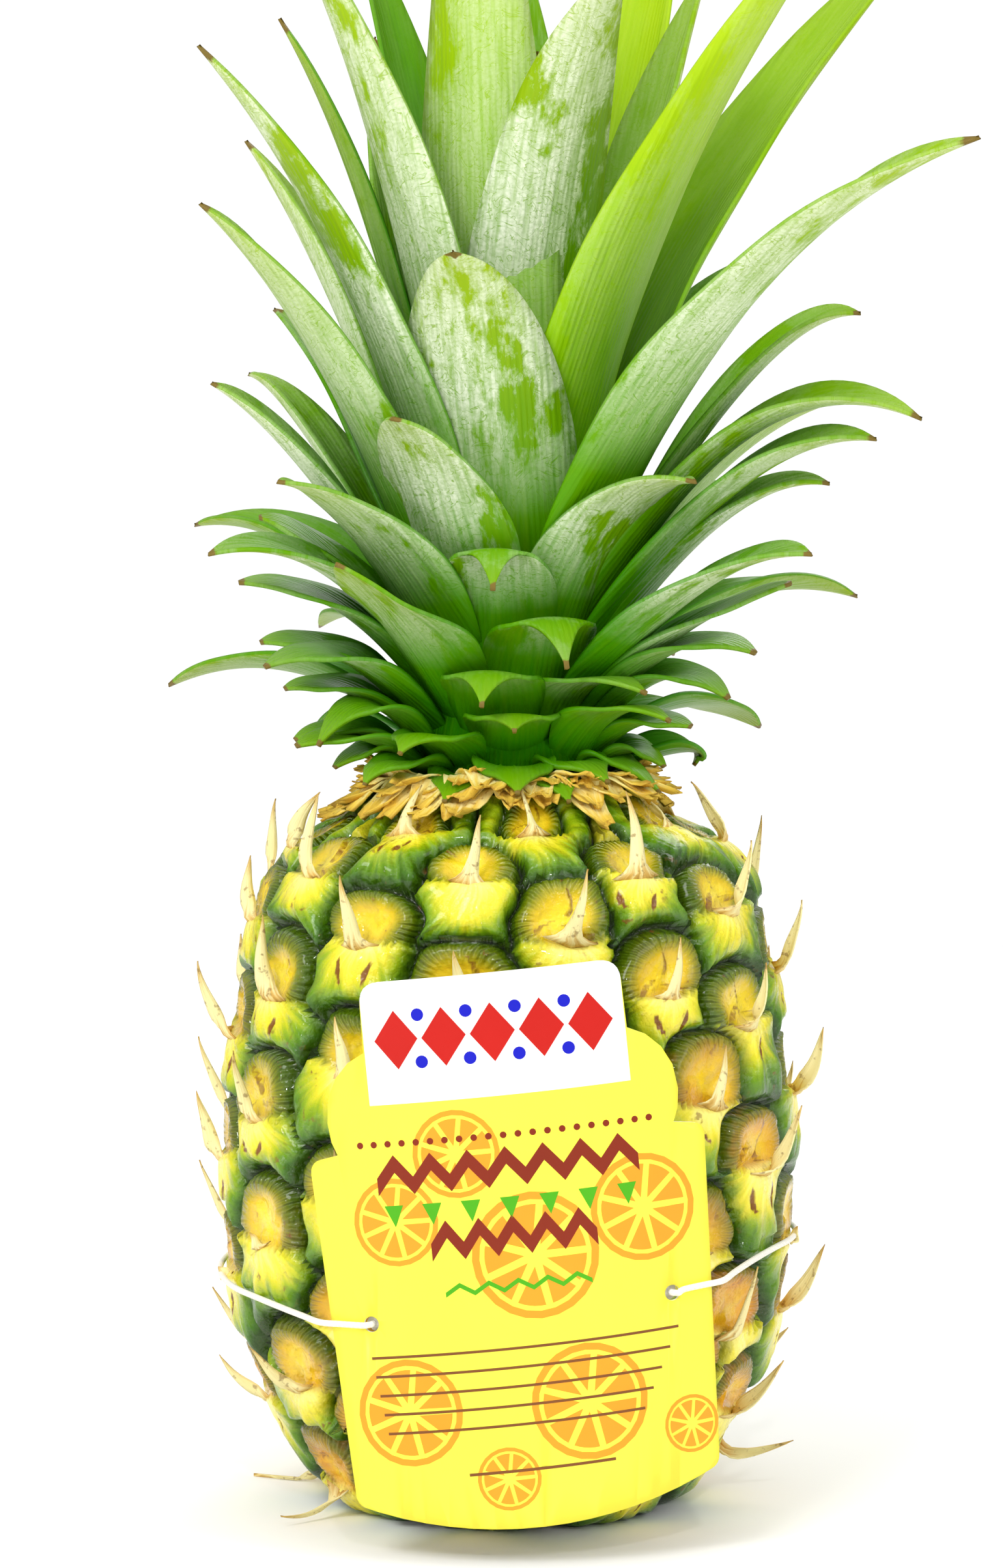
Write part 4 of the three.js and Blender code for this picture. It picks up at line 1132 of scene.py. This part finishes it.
def build_elastic(settings):
    """The round elastic with a knot behind each hole."""
    route = smooth_curve(elastic_route(), ELASTIC_SAMPLES)
    steps = np.linalg.norm(np.diff(route, axis=0), axis=1)
    distance = np.concatenate([[0], np.cumsum(steps)])
    ways = np.gradient(route, axis=0)
    ways /= np.linalg.norm(ways, axis=1)[:, None]
    last = len(route) - 1

    def place_at(u, f):
        step = round(f * last)
        angle = math.pi * (u + 1)
        side = np.cross(UP, ways[step])
        side = side / np.linalg.norm(side)
        round_way, _ = swing(side, np.cross(ways[step], side), angle)
        return route[step] + ELASTIC_RADIUS * round_way, (angle, distance[step])

    bm = bmesh.new()
    layer = bm.verts.layers.float_vector.new("blade_place")
    add_blade(bm, layer, ELASTIC_SIDES, last, place_at, 0)
    bmesh.ops.remove_doubles(bm, verts=bm.verts, dist=0.002)
    bmesh.ops.holes_fill(bm, edges=[edge for edge in bm.edges if edge.is_boundary], sides=0)
    for end in (route[0], route[-1]):
        knot = bmesh.ops.create_icosphere(bm, subdivisions=3, radius=KNOT_RADIUS,
                                          matrix=Matrix.Translation(Vector(end)))
        for vertex in knot["verts"]:
            ball = vertex.co - Vector(end)
            twist = math.atan2(ball.x, ball.z) * 3 + ball.y * 2.5
            vertex.co = Vector(end) + ball * (0.88 + 0.1 * math.sin(twist))
    bmesh.ops.recalc_face_normals(bm, faces=bm.faces)
    finish_piece(bm, "elastic_cord", [elastic_material(settings)], ["tag_elastic"])


# Stage

def add_aimed(data, place, aim):
    """Adds a lamp or a camera at a place in metres, pointed at another."""
    aimed = bpy.data.objects.new(data.name, data)
    aimed.location = place
    aimed.rotation_euler = (Vector(aim) - Vector(place)).to_track_quat("-Z", "Y").to_euler()
    bpy.context.scene.collection.objects.link(aimed)
    return aimed


def build_stage(settings):
    """A white floor, white surroundings, soft lamps and the camera."""
    bm = bmesh.new()
    bmesh.ops.create_grid(bm, x_segments=1, y_segments=1, size=settings.floor_size / 2)
    mesh = bpy.data.meshes.new("studio_floor")
    bm.to_mesh(mesh)
    bm.free()
    floor = bpy.data.objects.new("studio_floor", mesh)
    bpy.context.scene.collection.objects.link(floor)
    material, add = new_material("matt_white_table")
    clouds = add("noise", add("coordinates").outputs["Object"], Scale=3, Detail=2)
    pale = add("ramp", clouds, stops=[(0.3, "#f8f8f7"), (0.7, "#ffffff")])
    add("output", add("surface", Base_Color=pale, Roughness=1.0, Specular_IOR_Level=0.0))
    mesh.materials.append(material)

    scene = bpy.context.scene
    world = bpy.data.worlds.new("white_studio")
    # A bright ceiling over dimmer walls keeps the whole floor white and gives the fruit its shape
    add = new_nodes(world)
    rise = add("split", add("coordinates").outputs["Generated"]).outputs["Z"]
    surroundings = add("range", rise, 0, 1, settings.wall_light, settings.ceiling_light)
    seen = add("light_path").outputs["Is Camera Ray"]
    strength = add("range", seen, 0, 1, surroundings, BACKDROP_LIGHT)
    add("world_output", add("background", linear("#ffffff"), strength))
    scene.world = world
    scene.view_settings.view_transform = "Standard"

    for name, place, size, share in LAMPS:
        data = bpy.data.lights.new(name, "AREA")
        data.size = size
        data.energy = settings.key_power * share
        add_aimed(data, place, LAMP_AIM)

    data = bpy.data.cameras.new("photo_camera")
    data.sensor_fit = "VERTICAL"
    data.sensor_height = SENSOR_SIZE
    data.lens = FOCAL_LENGTH_PX / PHOTO_HEIGHT_PX * SENSOR_SIZE
    scene.camera = add_aimed(data, Vector(CAMERA_PLACE) * MM, Vector(CAMERA_AIM) * MM)


# Settings

def colour_setting(name, description, hex_colour):
    """A colour that a user can change."""
    return bpy.props.FloatVectorProperty(name=name, description=description, subtype="COLOR",
                                         size=4, min=0, max=1, default=linear(hex_colour))


def length_setting(name, description, millimetres):
    """A length that a user can change."""
    return bpy.props.FloatProperty(name=name, description=description, default=millimetres * MM,
                                   min=0, unit="LENGTH", precision=5)


class PineappleFruitSettings(bpy.types.PropertyGroup):
    crease_depth: length_setting("Crease depth", "Depth of the creases between the eyes", 4.4)
    wrinkle_height: length_setting("Wrinkle height",
                                   "Height of the fine wrinkles on rims and capes", 0.45)
    spine_length: length_setting("Spine length", "Usual length of the dry bract in each eye", 15)
    skin_rows: bpy.props.IntProperty(name="Skin rows", default=166, min=60,
                                     description="Rows of the skin from base to top")
    skin_sides: bpy.props.IntProperty(name="Skin sides", description="Faces round the skin",
                                      default=520, min=120)
    # Colour of the painted shade deep in the creases between the eyes
    crease_shade_colour: colour_setting("Crease colour", "Dark green deep between the eyes", "#2c4602")
    spot_colour: colour_setting("Spot colour", "Brown of the spots and slits", "#7a4312")


class PineappleCrownSettings(bpy.types.PropertyGroup):
    leaf_thickness: length_setting("Leaf thickness", "Thickness of a crown leaf", 0.9)
    rib_spacing: length_setting("Rib spacing", "Distance between the lengthwise ribs", 1.1)
    bloom_colour: colour_setting("Bloom colour", "Chalky bloom on the outer faces", "#f6f9e8")
    tip_colour: colour_setting("Tip colour", "Dry tip of a leaf", "#77642c")


class PineappleTagSettings(bpy.types.PropertyGroup):
    card_colour: colour_setting("Card colour", "Yellow of the card's body", "#fdf44a")
    elastic_colour: colour_setting("Elastic colour", "Off-white of the elastic", "#f7f4ea")


class PineappleStageSettings(bpy.types.PropertyGroup):
    floor_size: bpy.props.FloatProperty(name="Floor size", description="Width of the floor",
                                        default=2.6, min=1, unit="LENGTH")
    wall_light: bpy.props.FloatProperty(name="Wall light", description="Brightness at eye level",
                                        default=0.3, min=0)
    ceiling_light: bpy.props.FloatProperty(name="Ceiling light", description="Brightness overhead",
                                           default=1.25, min=0)
    key_power: bpy.props.FloatProperty(name="Key lamp", description="Power of the main lamp",
                                       default=8, min=0, unit="POWER")


# Operators

class PINEAPPLE_OT_fruit(bpy.types.Operator):
    """Makes the rind of the fruit"""
    bl_idname = "pineapple.fruit"
    bl_label = "Add rind"

    def execute(self, context):
        build_rind(context.scene.pineapple_fruit)
        return {"FINISHED"}


class PINEAPPLE_OT_spines(bpy.types.Operator):
    """Makes the dry pointed bracts of the eyes"""
    bl_idname = "pineapple.spines"
    bl_label = "Add bract spines"

    def execute(self, context):
        build_spines(context.scene.pineapple_fruit)
        return {"FINISHED"}


class PINEAPPLE_OT_crown(bpy.types.Operator):
    """Makes the leaves of the crown"""
    bl_idname = "pineapple.crown"
    bl_label = "Add crown leaves"

    def execute(self, context):
        build_leaves(context.scene.pineapple_crown)
        return {"FINISHED"}


class PINEAPPLE_OT_collar(bpy.types.Operator):
    """Makes the papery bracts under the crown"""
    bl_idname = "pineapple.collar"
    bl_label = "Add dry bracts"

    def execute(self, context):
        build_collar()
        return {"FINISHED"}


class PINEAPPLE_OT_tag(bpy.types.Operator):
    """Makes the printed card tag"""
    bl_idname = "pineapple.tag"
    bl_label = "Add card tag"

    def execute(self, context):
        build_card(context.scene.pineapple_tag)
        build_print()
        return {"FINISHED"}


class PINEAPPLE_OT_elastic(bpy.types.Operator):
    """Makes the elastic that holds the tag"""
    bl_idname = "pineapple.elastic"
    bl_label = "Add elastic"

    def execute(self, context):
        build_elastic(context.scene.pineapple_tag)
        return {"FINISHED"}


class PINEAPPLE_OT_stage(bpy.types.Operator):
    """Makes the floor, the lamps and the camera"""
    bl_idname = "pineapple.stage"
    bl_label = "Add stage"

    def execute(self, context):
        build_stage(context.scene.pineapple_stage)
        return {"FINISHED"}


OPERATORS = (PINEAPPLE_OT_stage, PINEAPPLE_OT_fruit, PINEAPPLE_OT_spines, PINEAPPLE_OT_crown,
             PINEAPPLE_OT_collar, PINEAPPLE_OT_tag, PINEAPPLE_OT_elastic)
SETTINGS = {
    "pineapple_fruit": PineappleFruitSettings, "pineapple_crown": PineappleCrownSettings,
    "pineapple_tag": PineappleTagSettings, "pineapple_stage": PineappleStageSettings,
}


class PINEAPPLE_PT_panel(bpy.types.Panel):
    """Lists the settings and the pieces"""
    bl_label = "Pineapple"
    bl_idname = "PINEAPPLE_PT_panel"
    bl_space_type = "VIEW_3D"
    bl_region_type = "UI"
    bl_category = "Pineapple"

    def draw(self, context):
        for name, group in SETTINGS.items():
            box = self.layout.box()
            for setting in group.__annotations__:
                box.prop(getattr(context.scene, name), setting)
        for operator in OPERATORS:
            self.layout.operator(operator.bl_idname)


def register():
    for cls in (*SETTINGS.values(), *OPERATORS, PINEAPPLE_PT_panel):
        bpy.utils.register_class(cls)
    for name, group in SETTINGS.items():
        setattr(bpy.types.Scene, name, bpy.props.PointerProperty(type=group))


def unregister():
    for name in SETTINGS:
        delattr(bpy.types.Scene, name)
    for cls in reversed((*SETTINGS.values(), *OPERATORS, PINEAPPLE_PT_panel)):
        bpy.utils.unregister_class(cls)


def main():
    register()
    bpy.ops.pineapple.stage()
    bpy.ops.pineapple.fruit()
    bpy.ops.pineapple.spines()
    bpy.ops.pineapple.crown()
    bpy.ops.pineapple.collar()
    bpy.ops.pineapple.tag()
    bpy.ops.pineapple.elastic()


if __name__ == "__main__":
    main()
